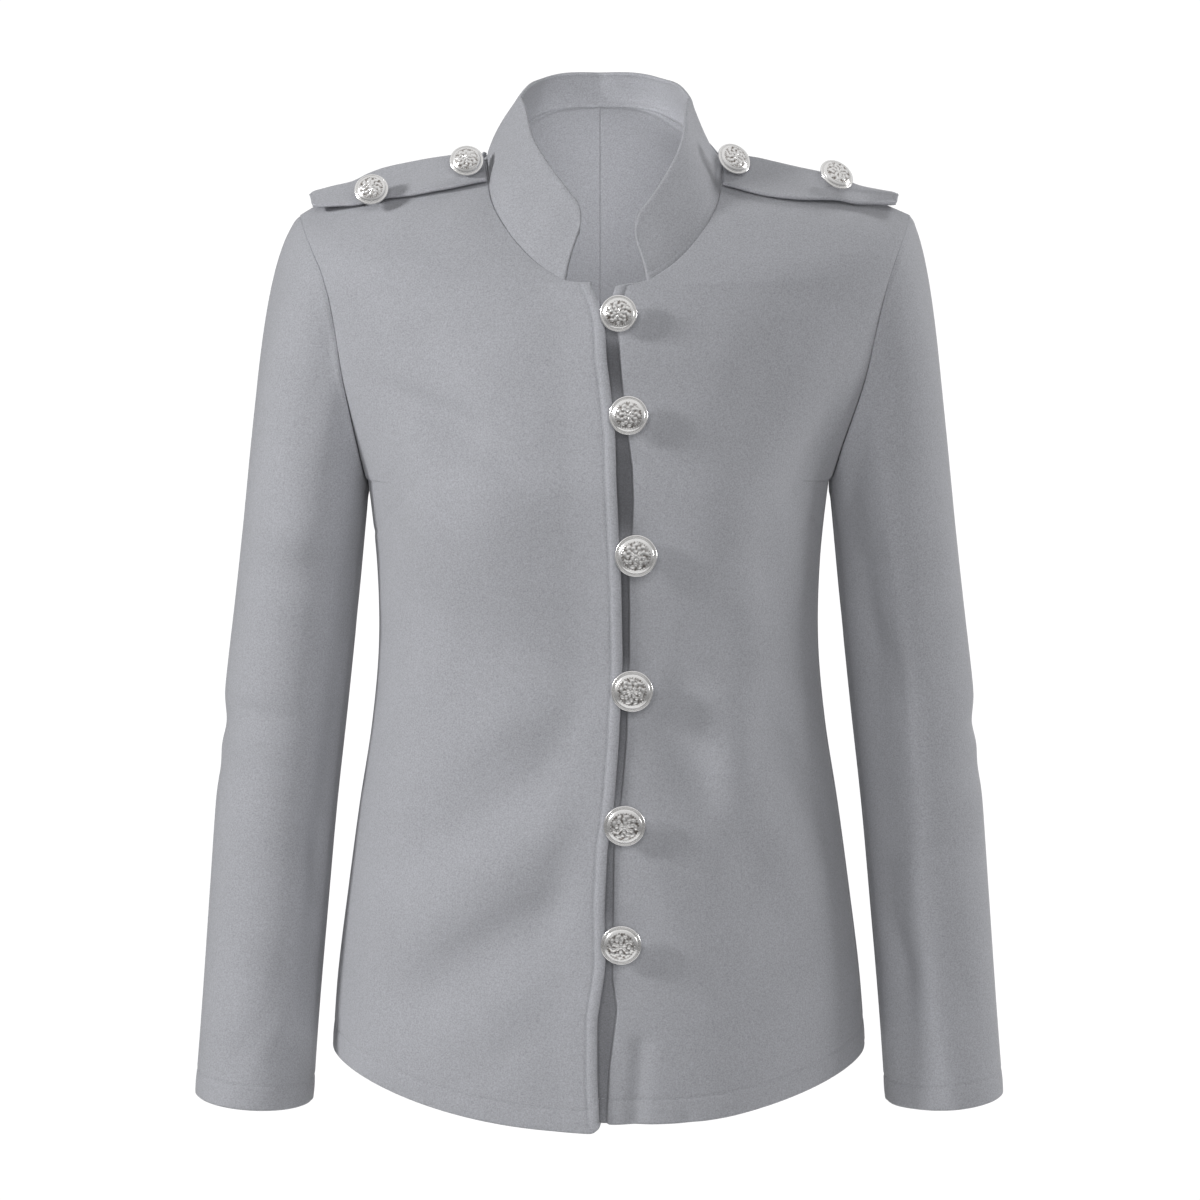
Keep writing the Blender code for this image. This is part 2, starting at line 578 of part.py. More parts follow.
# From each front end over the shoulder to the middle back.
COLLAR_ROWS = {
    RIGHT: (
        CollarRow(to_middle=13.5, backwards=14, rise=42.5, power=1.3),
        CollarRow(to_middle=21.5, backwards=13, rise=44, power=1.3),
        CollarRow(to_middle=24.5, backwards=11, rise=42, power=1.4),
        CollarRow(to_middle=22.0, backwards=-3, rise=41, power=1.6),
        CollarRow(to_middle=9.0, backwards=-14, rise=25, power=1.4),
        CollarRow(to_middle=0.0, backwards=-12, rise=21, power=1.2),
    ),
    LEFT: (
        CollarRow(to_middle=11.5, backwards=13, rise=36, power=1.2),
        CollarRow(to_middle=17.0, backwards=13, rise=39.5, power=1.2),
        CollarRow(to_middle=21.0, backwards=11, rise=41, power=1.0),
        CollarRow(to_middle=22.0, backwards=-3, rise=41, power=0.7),
        CollarRow(to_middle=10.0, backwards=-14, rise=25, power=1.3),
        CollarRow(to_middle=0.0, backwards=-12, rise=21, power=1.2),
    ),
}
COLLAR_HEIGHT_STEPS = 4
COLLAR_GAP = 0.42
COLLAR_CORNER = 14.0  # radius of each upper front corner
COLLAR_END_COLUMNS = 5  # in the first stretch from each front end
COLLAR_MIDDLE = np.array([0, -10, 0])


def neckline(side):
    """(outer, inner, way up) of the neckline from the collar's front end to the middle back."""
    places = row_places()
    front, front_inner = panel_grids(FRONT, side)
    back, back_inner = panel_grids(BACK, side)
    front_first = int(np.argmin(np.abs(places - COLLAR_ROW_FRONT)))
    back_first = int(np.argmin(np.abs(places - COLLAR_ROW_BACK)))
    parts = []
    for outer, inner, first in (
        (front, front_inner, front_first),
        (back, back_inner, back_first),
    ):
        up = unit(outer[first:, 0] - outer[first:, 1])
        parts.append(np.stack([outer[first:, 0], inner[first:, 0], up]))
    shoulder = (parts[0][:, -1:] + parts[1][:, -1:]) / 2
    return np.concatenate([parts[0][:, :-1], shoulder, parts[1][:, -2::-1]], axis=1)


def between(points, places):
    """Points at places along straight lines from each to the next."""
    below = np.minimum(np.floor(places).astype(int), len(points) - 2)
    share = (places - below)[:, None]
    return points[below] * (1 - share) + points[below + 1] * share


def collar_grids():
    """(outer, inner) points of the collar, from its right front end round to its left one.

    A circle cuts each upper front corner: it takes the same share of the rise and, as a power
    of it, of the lean, so that the band keeps its surface.
    """
    halves = []
    for side in (RIGHT, LEFT):
        line = neckline(side)
        last = line.shape[1] - 1
        end_places = np.arange(COLLAR_END_COLUMNS) / COLLAR_END_COLUMNS
        places = np.append(end_places, np.arange(1, last + 1))
        outer, inner, up = (between(part, places) for part in line)
        stations = places * (len(COLLAR_ROWS[side]) - 1) / last
        to_middle, backwards, rise, power = rows_at(COLLAR_ROWS[side], stations).T
        steps = np.linalg.norm(np.diff(outer, axis=0), axis=1)
        to_corner = np.clip(COLLAR_CORNER - np.append(0, np.cumsum(steps)), 0, None)
        cut = COLLAR_CORNER - np.sqrt(COLLAR_CORNER**2 - to_corner**2)
        kept = 1 - cut / rise
        rise = rise * kept
        lean = np.stack([-side * to_middle, backwards, np.zeros_like(rise)], axis=-1)
        lean = lean * (kept**power)[:, None]
        upright = np.stack([rise, power, power], axis=-1)
        halves.append((outer, inner, unit(up + np.array([0, 0, 1.0])), lean, upright))
    joined = []
    for right_part, left_part in zip(*halves):
        middle = (right_part[-1:] + left_part[-1:]) / 2
        joined.append(np.concatenate([right_part[:-1], middle, left_part[-2::-1]]))
    base, base_inner, up, lean, upright = joined
    rise, power = upright[:, :1], upright[:, 1:2]
    levels = []
    for share in np.linspace(0, 1, COLLAR_HEIGHT_STEPS + 1):
        levels.append(base + COLLAR_GAP * up + share**power * lean + share * rise * [0, 0, 1])
    outer = np.stack(levels)
    normals = grid_normals(outer)
    outwards = outer - COLLAR_MIDDLE
    outwards[..., 2] = 0
    if (normals * outwards).sum(axis=-1).mean() < 0:
        normals = -normals
    inner = outer - CLOTH_THICKNESS * normals
    inner[0] = base_inner + COLLAR_GAP * up
    return outer, inner


# Shoulder straps ------------------------------------------------------------------------------


class StrapRow(NamedTuple):
    """One station along a shoulder strap, from its free outer end to the collar."""

    way: float  # from the neckline, 0, to the armhole, 1
    front_place: float  # row place of the front edge, on the front panel
    back_place: float  # row place of the back edge, on the back panel
    raised: float  # above the shoulder


STRAP_ROWS = {
    RIGHT: (
        StrapRow(way=0.912, front_place=15.50, back_place=15.70, raised=4.6),
        StrapRow(way=0.81, front_place=15.44, back_place=15.72, raised=3.0),
        StrapRow(way=0.705, front_place=15.40, back_place=15.75, raised=0.6),
        StrapRow(way=0.62, front_place=15.37, back_place=15.78, raised=1.6),
        StrapRow(way=0.53, front_place=15.35, back_place=15.80, raised=2.0),
        StrapRow(way=0.36, front_place=15.34, back_place=15.84, raised=1.5),
        StrapRow(way=0.17, front_place=15.37, back_place=15.93, raised=1.7),
        StrapRow(way=0.008, front_place=15.48, back_place=15.96, raised=1.0),
    ),
    LEFT: (
        StrapRow(way=0.905, front_place=15.56, back_place=15.70, raised=5.0),
        StrapRow(way=0.81, front_place=15.52, back_place=15.72, raised=3.8),
        StrapRow(way=0.705, front_place=15.46, back_place=15.75, raised=2.2),
        StrapRow(way=0.62, front_place=15.40, back_place=15.78, raised=2.8),
        StrapRow(way=0.53, front_place=15.32, back_place=15.80, raised=2.6),
        StrapRow(way=0.36, front_place=15.25, back_place=15.84, raised=1.3),
        StrapRow(way=0.17, front_place=15.28, back_place=15.93, raised=1.5),
        StrapRow(way=0.008, front_place=15.40, back_place=15.96, raised=0.9),
    ),
}
STRAP_THICKNESS = 2.5
STRAP_GAP = 0.5
STRAP_STEPS_ALONG = 2
STRAP_STEPS_ACROSS = 4


def shoulder_points(face, side, places, way):
    """Outer points of the shoulder, one for each row place and way from neck to armhole."""
    return np.concatenate(dressed(face, side, places, way[:, None]), axis=1)


def strap_grids(side):
    """(outer, inner) points of a shoulder strap, made from the shoulder's points moved out."""
    rows = STRAP_ROWS[side]
    stations = np.linspace(0, len(rows) - 1, (len(rows) - 1) * STRAP_STEPS_ALONG + 1)
    along = rows_at(rows, stations)
    lines = []
    for way, front_place, back_place, _ in along:
        front_places = np.linspace(front_place, SHOULDER_ROW, STRAP_STEPS_ACROSS + 1)[:-1]
        back_places = np.array([SHOULDER_ROW, back_place])
        front = shoulder_points(FRONT, side, front_places, np.full(len(front_places), way))
        back = shoulder_points(BACK, side, back_places, np.full(len(back_places), way))
        lines.append(np.concatenate([front, back]))
    surface = np.stack(lines)
    normals = grid_normals(surface)
    if normals[..., 2].mean() < 0:
        normals = -normals
    inner = surface + (STRAP_GAP + along[:, 3])[:, None, None] * normals
    return inner + STRAP_THICKNESS * normals, inner


# Buttons --------------------------------------------------------------------------------------


class ButtonRow(NamedTuple):
    """One button: what it is sewn to, the middle of its face from the front, and its facing."""

    name: str
    carrier: str
    x: float
    height: float
    diameter: float
    nod: float  # degrees that its face looks up
    turn: float  # degrees that its face looks to the wearer's left


BUTTONS = (
    ButtonRow("button_front_1", "front_left", x=11.3, height=-75.6, diameter=22.6, nod=9, turn=0),
    ButtonRow("button_front_2", "front_left", x=17.3, height=-136.9, diameter=23.8, nod=6, turn=0),
    ButtonRow("button_front_3", "front_left", x=22.0, height=-223.2, diameter=26.0, nod=3, turn=0),
    ButtonRow("button_front_4", "front_left", x=19.8, height=-308.8, diameter=26.0, nod=1, turn=0),
    ButtonRow("button_front_5", "front_left", x=15.2, height=-392.6, diameter=26.0, nod=-4, turn=0),
    ButtonRow("button_front_6", "front_left", x=13.0, height=-467.0, diameter=25.5, nod=-6, turn=0),
    ButtonRow("button_strap_right_outer", "shoulder_strap_right", -143.7, -0.6, 21.5, 30, -3),
    ButtonRow("button_strap_right_inner", "shoulder_strap_right", -84.0, 17.2, 21.5, 30, 0),
    ButtonRow("button_strap_left_inner", "shoulder_strap_left", 86.0, 18.4, 22.3, 32, 28),
    ButtonRow("button_strap_left_outer", "shoulder_strap_left", 151.0, 8.8, 22.8, 38, 30),
)

BUTTON_SIDES = 18
SHANK_RADIUS, SHANK_LENGTH = 2.4, 6.5
RIM_HEIGHT, DOME_HEIGHT = 2.6, 5.2
GROOVE_DEPTH = 0.6  # between the dome and the rim
DOME_SHARE, CREST_SHARE, FOOT_SHARE = 0.80, 0.90, 0.94  # radii, as shares of the button's
EDGE_SHARE = 0.55  # height of the widest place, as a share of the rim's
BUTTON_GAP = 0.3
VIEW_DISTANCE = 500.0


def button_profile(radius):
    """(distance from the axis, height) down a button's outline, from the dome to the shank."""
    disc = SHANK_LENGTH
    dome_radius = radius * DOME_SHARE
    dome_foot = RIM_HEIGHT - GROOVE_DEPTH
    arc = np.linspace(0, np.pi / 2, 4)[1:]
    dome = [
        (dome_radius * np.sin(a), disc + dome_foot + (DOME_HEIGHT - dome_foot) * np.cos(a))
        for a in arc
    ]
    rim = [
        (radius * CREST_SHARE, disc + RIM_HEIGHT),
        (radius, disc + RIM_HEIGHT * EDGE_SHARE),
        (radius * FOOT_SHARE, disc),
    ]
    shank = [(SHANK_RADIUS, disc), (SHANK_RADIUS, 0.0)]
    return disc + DOME_HEIGHT, dome + rim + shank


def facing(nod, turn):
    """The way a button's face looks."""
    nod, turn = np.radians(nod), np.radians(turn)
    return np.array([np.sin(turn) * np.cos(nod), -np.cos(turn) * np.cos(nod), np.sin(nod)])


# Meshes ---------------------------------------------------------------------------------------


def material(name, colour, roughness, metallic):
    made = bpy.data.materials.new(name)
    made.use_nodes = True
    shader = made.node_tree.nodes["Principled BSDF"]
    shader.inputs["Base Color"].default_value = colour
    shader.inputs["Roughness"].default_value = roughness
    shader.inputs["Metallic"].default_value = metallic
    made.diffuse_color = colour
    return made


def add_object(name, mesh, colour, roughness, metallic):
    mesh.materials.append(material(name, colour, roughness, metallic))
    mesh.shade_smooth()
    mesh.set_sharp_from_angle(angle=np.radians(40))
    made = bpy.data.objects.new(name, mesh)
    bpy.context.scene.collection.objects.link(made)
    return made


def wall(name, outer, inner, around=False):
    """A closed wall between an outer grid and an inner one; around closes its columns."""
    rows, columns = outer.shape[:2]
    points = np.concatenate([outer.reshape(-1, 3), inner.reshape(-1, 3)]) * MM
    numbers = np.arange(rows * columns).reshape(rows, columns)
    next_column = np.roll(numbers, -1, axis=1) if around else numbers[:, 1:]
    this_column = numbers if around else numbers[:, :-1]
    quads = np.stack(
        [this_column[:-1], next_column[:-1], next_column[1:], this_column[1:]], axis=-1
    ).reshape(-1, 4)
    inside = rows * columns
    faces = [quads, quads[:, ::-1] + inside]
    loops = [numbers[0], numbers[-1, ::-1]]
    if around:
        loops = [np.append(loop, loop[0]) for loop in loops]
    else:
        loops += [numbers[::-1, 0], numbers[:, -1]]
    for loop in loops:
        start, end = loop[:-1], loop[1:]
        faces.append(np.stack([end, start, start + inside, end + inside], axis=-1))
    mesh = bpy.data.meshes.new(name)
    mesh.from_pydata(points.tolist(), [], np.concatenate(faces).tolist())
    face_outwards(mesh)
    return add_object(name, mesh, CLOTH_COLOUR, roughness=0.85, metallic=0.0)


def face_outwards(mesh):
    """Turns a closed mesh's faces outwards."""
    edited = bmesh.new()
    edited.from_mesh(mesh)
    bmesh.ops.recalc_face_normals(edited, faces=edited.faces)
    edited.to_mesh(mesh)
    edited.free()


def button(name, seat, axis, diameter):
    """A turned button whose shank ends at seat and whose face looks along axis."""
    top, outline = button_profile(diameter / 2)
    turn = np.arange(BUTTON_SIDES) * 2 * np.pi / BUTTON_SIDES
    sideways = unit(np.cross(axis, [0, 0, 1]))
    upwards = np.cross(sideways, axis)
    circle = np.cos(turn)[:, None] * sideways + np.sin(turn)[:, None] * upwards
    rings = [seat + radius * circle + height * axis for radius, height in outline]
    points = np.concatenate([*rings, [seat + top * axis], [seat]]) * MM
    around = np.arange(BUTTON_SIDES)
    onwards = np.roll(around, -1)
    faces = []
    for ring in range(len(outline) - 1):
        here, there = ring * BUTTON_SIDES, (ring + 1) * BUTTON_SIDES
        quads = np.stack([here + around, here + onwards, there + onwards, there + around], axis=-1)
        faces.extend(quads.tolist())
    last = (len(outline) - 1) * BUTTON_SIDES
    crown, foot = len(points) - 2, len(points) - 1
    faces.extend([crown, int(b), int(a)] for a, b in zip(around, onwards))
    faces.extend([foot, int(last + a), int(last + b)] for a, b in zip(around, onwards))
    mesh = bpy.data.meshes.new(name)
    mesh.from_pydata(points.tolist(), [], faces)
    face_outwards(mesh)
    return add_object(name, mesh, METAL_COLOUR, roughness=0.25, metallic=1.0)


def hit_distance(tree, start, way):
    """How far from start a ray meets a mesh, or None."""
    _, _, _, distance = tree.ray_cast(start.tolist(), way.tolist())
    return distance


def seat(carrier, row, axis):
    """Where a button's shank ends: its face is on the row's line of sight, its foot just off.

    The foot is tried at depths along the line of sight from the front until the rim of the
    shank, looked along the button's axis, is nearest the carrier by the gap.
    """
    points = [list(vertex.co / MM) for vertex in carrier.vertices]
    carrier.calc_loop_triangles()
    triangles = [list(triangle.vertices) for triangle in carrier.loop_triangles]
    tree = BVHTree.FromPolygons(points, triangles)
    reach = SHANK_LENGTH + DOME_HEIGHT
    sideways = unit(np.cross(axis, [0, 0, 1]))
    upwards = np.cross(sideways, axis)
    turns = np.arange(8) * np.pi / 4
    rim = SHANK_RADIUS * (np.cos(turns)[:, None] * sideways + np.sin(turns)[:, None] * upwards)
    for depth in np.arange(-VIEW_DISTANCE / 2, VIEW_DISTANCE / 2, 0.05):
        foot = np.array([row.x, depth, row.height]) - reach * axis
        starts = foot + np.concatenate([rim, [[0, 0, 0]]]) + VIEW_DISTANCE * axis
        hits = [hit_distance(tree, start, -axis) for start in starts]
        reached = [VIEW_DISTANCE - distance for distance in hits if distance is not None]
        if reached and max(reached) > -BUTTON_GAP:
            return foot
    raise ValueError(row.name)


def clear_scene():
    for old in list(bpy.data.objects):
        bpy.data.objects.remove(old, do_unlink=True)


def main():
    clear_scene()
    made = {}
    for side, word in ((RIGHT, "right"), (LEFT, "left")):
        made[f"front_{word}"] = wall(f"front_{word}", *panel_grids(FRONT, side))
        made[f"back_{word}"] = wall(f"back_{word}", *panel_grids(BACK, side))
        made[f"sleeve_{word}"] = wall(f"sleeve_{word}", *sleeve_grids(side), around=True)
        strap = f"shoulder_strap_{word}"
        made[strap] = wall(strap, *strap_grids(side))
    wall("collar", *collar_grids())
    for row in BUTTONS:
        axis = facing(row.nod, row.turn)
        button(row.name, seat(made[row.carrier].data, row, axis), axis, row.diameter)


main()
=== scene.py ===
"""Looks of a woman's military jacket: melton cloth, sewn edges and silver-plated shank buttons.

The wearer's right is at -X, the front faces -Y and up is +Z. Forms are worked out in
millimetres and put into the meshes in metres. Every cloth piece is one closed sheet on a fine
grid: the garment's form first, then creases, seams and stitched edges, each as an offset
along the sheet's own normals.
"""

import logging
from dataclasses import dataclass, field
from enum import Enum
from typing import NamedTuple, Sequence

import bpy
import numpy as np
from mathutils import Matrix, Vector


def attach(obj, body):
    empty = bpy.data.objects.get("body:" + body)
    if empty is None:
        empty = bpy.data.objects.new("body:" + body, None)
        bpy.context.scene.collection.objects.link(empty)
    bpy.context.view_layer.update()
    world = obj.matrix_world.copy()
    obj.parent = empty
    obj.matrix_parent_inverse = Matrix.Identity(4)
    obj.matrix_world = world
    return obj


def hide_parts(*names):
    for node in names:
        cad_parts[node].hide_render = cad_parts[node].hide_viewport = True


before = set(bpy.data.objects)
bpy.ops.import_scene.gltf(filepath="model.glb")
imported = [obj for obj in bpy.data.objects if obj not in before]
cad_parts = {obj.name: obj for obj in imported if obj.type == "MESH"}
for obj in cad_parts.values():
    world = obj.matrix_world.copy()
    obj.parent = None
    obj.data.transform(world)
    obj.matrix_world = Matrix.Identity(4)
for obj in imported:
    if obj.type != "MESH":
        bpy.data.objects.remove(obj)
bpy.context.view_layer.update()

LOG = logging.getLogger("jacket")
Array = np.ndarray
Place = tuple[float, float, float]
Piece, Mesh, Material = bpy.types.Object, bpy.types.Mesh, bpy.types.Material
NodeTree, Node = bpy.types.NodeTree, bpy.types.Node

MM = 0.001
BODY = "root"
CLOTH_SLOT = "cloth"
METAL_SLOT = "button_metal"


class Side(Enum):
    """The wearer's sides, as signs of X."""

    RIGHT = -1
    LEFT = 1


class Face(Enum):
    """The jacket's faces, as signs of Y."""

    FRONT = -1
    BACK = 1


# Shared arithmetic -------------------------------


def smooth_step(value: Array) -> Array:
    """0 below 0, 1 above 1 and a smooth rise between."""
    value = np.clip(value, 0, 1)
    return value * value * (3 - 2 * value)


def fade_in(distance: Array, start: float, length: float) -> Array:
    """0 up to the start, 1 from a length beyond it and a smooth rise between."""
    return smooth_step((distance - start) / length)


def bell(distance: Array, width: float) -> Array:
    """1 at no distance, falling as a bell curve to about a third at this width."""
    return np.exp(-((distance / width) ** 2))


def unit(vectors: Array) -> Array:
    """The vectors at length one."""
    return vectors / np.maximum(np.linalg.norm(vectors, axis=-1, keepdims=True), 1e-9)


def rows_at(table: Sequence[NamedTuple], places: Array) -> Array:
    """The table's columns on a smooth curve through its rows.

    Between two rows it is a cubic with the slopes that the neighbouring rows give.

    Args:
        table: rows of numbers.
        places: where to read it, counted in rows.

    Returns:
        One row of values for each place.
    """
    values = np.array(table, float)
    last = len(values) - 1
    below = np.clip(np.floor(places).astype(int), 0, last - 1)
    share = (places - below)[:, None]
    slopes = np.gradient(values, axis=0)
    return (
        values[below] * (1 + 2 * share) * (1 - share) ** 2
        + slopes[below] * share * (1 - share) ** 2
        + values[below + 1] * share**2 * (3 - 2 * share)
        + slopes[below + 1] * share**2 * (share - 1)
    )


def grid_normals(grid: Array, around: bool = False) -> Array:
    """Unit normals of a grid of points: the cross product of its two directions.

    Args:
        grid: rows x columns x 3 points.
        around: whether the last column meets the first.

    Returns:
        A unit vector for each point.
    """
    if around:
        across = np.roll(grid, -1, axis=1) - np.roll(grid, 1, axis=1)
    else:
        across = np.gradient(grid, axis=1)
    return unit(np.cross(across, np.gradient(grid, axis=0)))


def lengths_along(grid: Array, axis: int) -> Array:
    """How far each grid point lies from the grid's first line: the sum of the steps to it.

    Args:
        grid: rows x columns x 3 points.
        axis: 0 to measure along the columns from the first row, 1 along the rows.

    Returns:
        A distance for each point.
    """
    steps = np.linalg.norm(np.diff(grid, axis=axis), axis=-1)
    start = np.zeros_like(np.take(steps, [0], axis=axis))
    return np.concatenate([start, np.cumsum(steps, axis=axis)], axis=axis)


def along_line(points: Array) -> Array:
    """How far each point of a line lies from its start."""
    return np.cumsum([0, *np.linalg.norm(np.diff(points, axis=0), axis=1)])


def read_line(values: Array, along: Array, at: Array) -> Array:
    """A line's values at these distances along it, evenly between its points."""
    return np.stack([np.interp(at, along, column) for column in values.T], axis=-1)


def cells(numbers: Array, around: bool) -> Array:
    """The faces of a grid: each has four neighbouring points' numbers, in turn.

    Args:
        numbers: rows x columns of point numbers.
        around: whether the last column meets the first.

    Returns:
        One row of four numbers for each face.
    """
    onwards = np.roll(numbers, -1, axis=1) if around else numbers[:, 1:]
    here = numbers if around else numbers[:, :-1]
    return np.stack([here[:-1], onwards[:-1], onwards[1:], here[1:]], axis=-1).reshape(-1, 4)


def spaced(length: float, coarse: float, fine_at: Sequence[float], fine: float = 0.5) -> Array:
    """Distances from 0 to a length, close together round the given ones.

    The step grows from fine to coarse as a bell curve of the way from the nearest of them.

    Args:
        length: the last distance.
        coarse: the step far from every given distance.
        fine_at: the distances that need detail.
        fine: the step there.

    Returns:
        The distances, rising, with both ends.
    """
    reach, sample_step = 5.0, 0.05
    sample = np.linspace(0, length, int(length / sample_step) + 2)
    near = np.max([bell(sample - place, reach) for place in fine_at], axis=0)
    density = 1 / (coarse - (coarse - fine) * near)
    count = np.concatenate([[0], np.cumsum((density[1:] + density[:-1]) / 2 * np.diff(sample))])
    steps = int(np.ceil(count[-1]))
    return np.interp(np.linspace(0, count[-1], steps + 1), count, sample)


def ripple(position: Array, seed: float) -> Array:
    """An uneven wave of about -1 to 1: three sines whose lengths share no common measure.

    Args:
        position: where to read it, in radians of the main wave.
        seed: a number that shifts the three against each other.

    Returns:
        A height for each position.
    """
    return (
        np.sin(position + seed)
        + 0.6 * np.sin(position * 2.37 + seed * 1.7)
        + 0.4 * np.sin(position * 0.43 + seed * 2.9)
    ) / 2


# Sewn edges --------------------------------------


class Roll(NamedTuple):
    """A soft roll (height above 0) or a groove (below 0) that runs along an edge or a seam."""

    height: float
    middle: float  # its distance from the edge
    width: float


class Pucker(NamedTuple):
    """The uneven waves that stitching draws up along an edge."""

    height: float
    middle: float  # their distance from the edge
    width: float
    pitch: float  # a radian of the main wave
    seed: float


def rolled(distance: Array, *rolls: Roll) -> Array:
    """How far rolls and grooves lift the cloth, at a distance from the edge: a bell for each."""
    return sum(roll.height * bell(distance - roll.middle, roll.width) for roll in rolls)


def puckered(along: Array, distance: Array, pucker: Pucker) -> Array:
    """How far stitching lifts the cloth: a wave along the edge, times a bell across it.

    Args:
        along: how far along the edge each point lies.
        distance: how far from the edge it lies.
        pucker: the waves.

    Returns:
        A height for each point.
    """
    waves = pucker.height * ripple(along / pucker.pitch, pucker.seed)
    return waves * bell(distance - pucker.middle, pucker.width)


# Creases -----------------------------------------

END_SHARE = 0.08  # a crease's fade starts this share of a half wave before its top
FADE_POWER = 1.5
BOW_REACH = 0.6  # how far from its middle a crease bows, as a share of its length


class Crease(NamedTuple):
    """A soft trough (depth above 0) or ridge (below 0) along a bowed line of a sheet.

    The line runs in two of the sheet's own sizes: x and height on a panel, way round and
    height on a sleeve. It bows sideways by bow at its middle and fades towards both ends.
    """

    x_top: float
    height_top: float
    x_bottom: float
    height_bottom: float
    width: float
    depth: float
    bow: float = 0.0
    sharp_side: float = 1.0  # its width on the line's left side, as a share of the other side's


def crease_depth(x: Array, height: Array, creases: Sequence[Crease]) -> Array:
    """How far the creases push a sheet in.

    Each is a bell across its line, times half a sine wave to a power from just before its top
    to just past its bottom.

    Args:
        x: the points' first size.
        height: the points' second size.
        creases: the creases of this sheet.

    Returns:
        A depth for each point.
    """
    total = np.zeros_like(x)
    for crease in creases:
        way = np.array([crease.x_bottom - crease.x_top, crease.height_bottom - crease.height_top])
        length = np.hypot(*way)
        way = way / length
        from_top = np.stack([x - crease.x_top, height - crease.height_top])
        share = (way[0] * from_top[0] + way[1] * from_top[1]) / length
        off_line = way[0] * from_top[1] - way[1] * from_top[0]
        bowed = 4 * share * (1 - share) * (np.abs(share - 0.5) < BOW_REACH)
        off_line = off_line - crease.bow * bowed
        width = np.where(off_line > 0, crease.width * crease.sharp_side, crease.width)
        half_wave = np.clip(share * (1 - 2 * END_SHARE) + END_SHARE, 0, 1) * np.pi
        fade = np.sin(half_wave) ** FADE_POWER
        total += crease.depth * fade * np.exp(-((off_line / width) ** 2))
    return total


# Body form ---------------------------------------


class SideRow(NamedTuple):
    """One row's outer end, on the side seam and then round the armhole to the shoulder."""

    height: float
    half_width: float
    middle_x: float = -1.2
    middle_y: float = 0.0


class PanelRow(NamedTuple):
    """The rest of a row, from its inner end, at this height, out to the side."""

    height: float
    depth: float
    squareness: float = 2.0
    bend: float = 1.6
    armhole_depth: float = 0.0
    neck_x: float = 0.0


class EdgeRow(NamedTuple):
    """The two front edges at one height."""

    height: float
    right_x: float
    left_x: float = -10.0


SIDE_ROWS = (
    SideRow(-558, 174.0, middle_x=-0.8),
    SideRow(-508, 169.6),
    SideRow(-450, 162.0),
    SideRow(-397, 154.5),
    SideRow(-344, 146.0),
    SideRow(-292, 141.2),
    SideRow(-240, 142.0),
    SideRow(-190, 147.0),
    SideRow(-184, 149.0, middle_x=-0.8),
    SideRow(-163, 153.5, middle_x=0.0),
    SideRow(-122, 164.0, middle_x=2.4),
    SideRow(-88, 170.5, middle_x=3.6),
    SideRow(-70, 174.3, middle_x=4.0),
    SideRow(-54, 179.0, middle_x=3.9),
    SideRow(-40, 185.0, middle_x=3.4, middle_y=2),
    SideRow(-29, 190.3, middle_x=3.2, middle_y=5),
    SideRow(-19, 195.0, middle_x=3.2, middle_y=8),
)

PANEL_ROWS = {
    Face.FRONT: (
        PanelRow(-588, 112, squareness=2.2, bend=2.0),
        PanelRow(-524, 111, squareness=2.2),
        PanelRow(-459, 108, squareness=2.3),
        PanelRow(-402, 104, squareness=2.4),
        PanelRow(-346, 100, squareness=2.45),
        PanelRow(-292, 99, squareness=2.45),
        PanelRow(-240, 106, squareness=2.4),
        PanelRow(-190, 113, squareness=2.3),
        PanelRow(-168, 113, squareness=2.25, armhole_depth=15),
        PanelRow(-138, 111, squareness=2.2, armhole_depth=31),
        PanelRow(-104, 104, squareness=2.1, armhole_depth=42),
        PanelRow(-77, 96, squareness=2.05, armhole_depth=42),
        PanelRow(-62, 90, armhole_depth=41),
        PanelRow(-56.5, 87, bend=1.5, armhole_depth=37, neck_x=25),
        PanelRow(-40, 77, bend=1.5, armhole_depth=30, neck_x=49),
        PanelRow(-13, 53, bend=1.4, armhole_depth=18, neck_x=69),
        PanelRow(15, 0, bend=1.4, neck_x=76),
    ),
    Face.BACK: (
        PanelRow(-586, 110, squareness=2.5),
        PanelRow(-522, 110, squareness=2.5),
        PanelRow(-458, 106, squareness=2.5),
        PanelRow(-402, 98, squareness=2.5),
        PanelRow(-346, 88, squareness=2.5),
        PanelRow(-292, 82, squareness=2.5),
        PanelRow(-240, 85, squareness=2.5),
        PanelRow(-190, 93, squareness=2.5),
        PanelRow(-165, 98, squareness=2.45, armhole_depth=13),
        PanelRow(-130, 103, squareness=2.4, armhole_depth=26),
        PanelRow(-88, 106, squareness=2.3, armhole_depth=36),
        PanelRow(-48, 103, squareness=2.2, armhole_depth=38),
        PanelRow(-12, 95, squareness=2.1, armhole_depth=36),
        PanelRow(22, 81, bend=1.2, armhole_depth=31),
        PanelRow(51, 60, bend=0.9, armhole_depth=24),
        PanelRow(45, 50, bend=0.75, armhole_depth=14, neck_x=46),
        PanelRow(15, 0, bend=1.4, neck_x=76),
    ),
}

UNDERARM_ROW = 7
COLLAR_ROW = {Face.FRONT: 13, Face.BACK: 14}
SHOULDER_ROW = 16
SHOULDER_BEND = {Side.RIGHT: 2.15, Side.LEFT: 1.55}

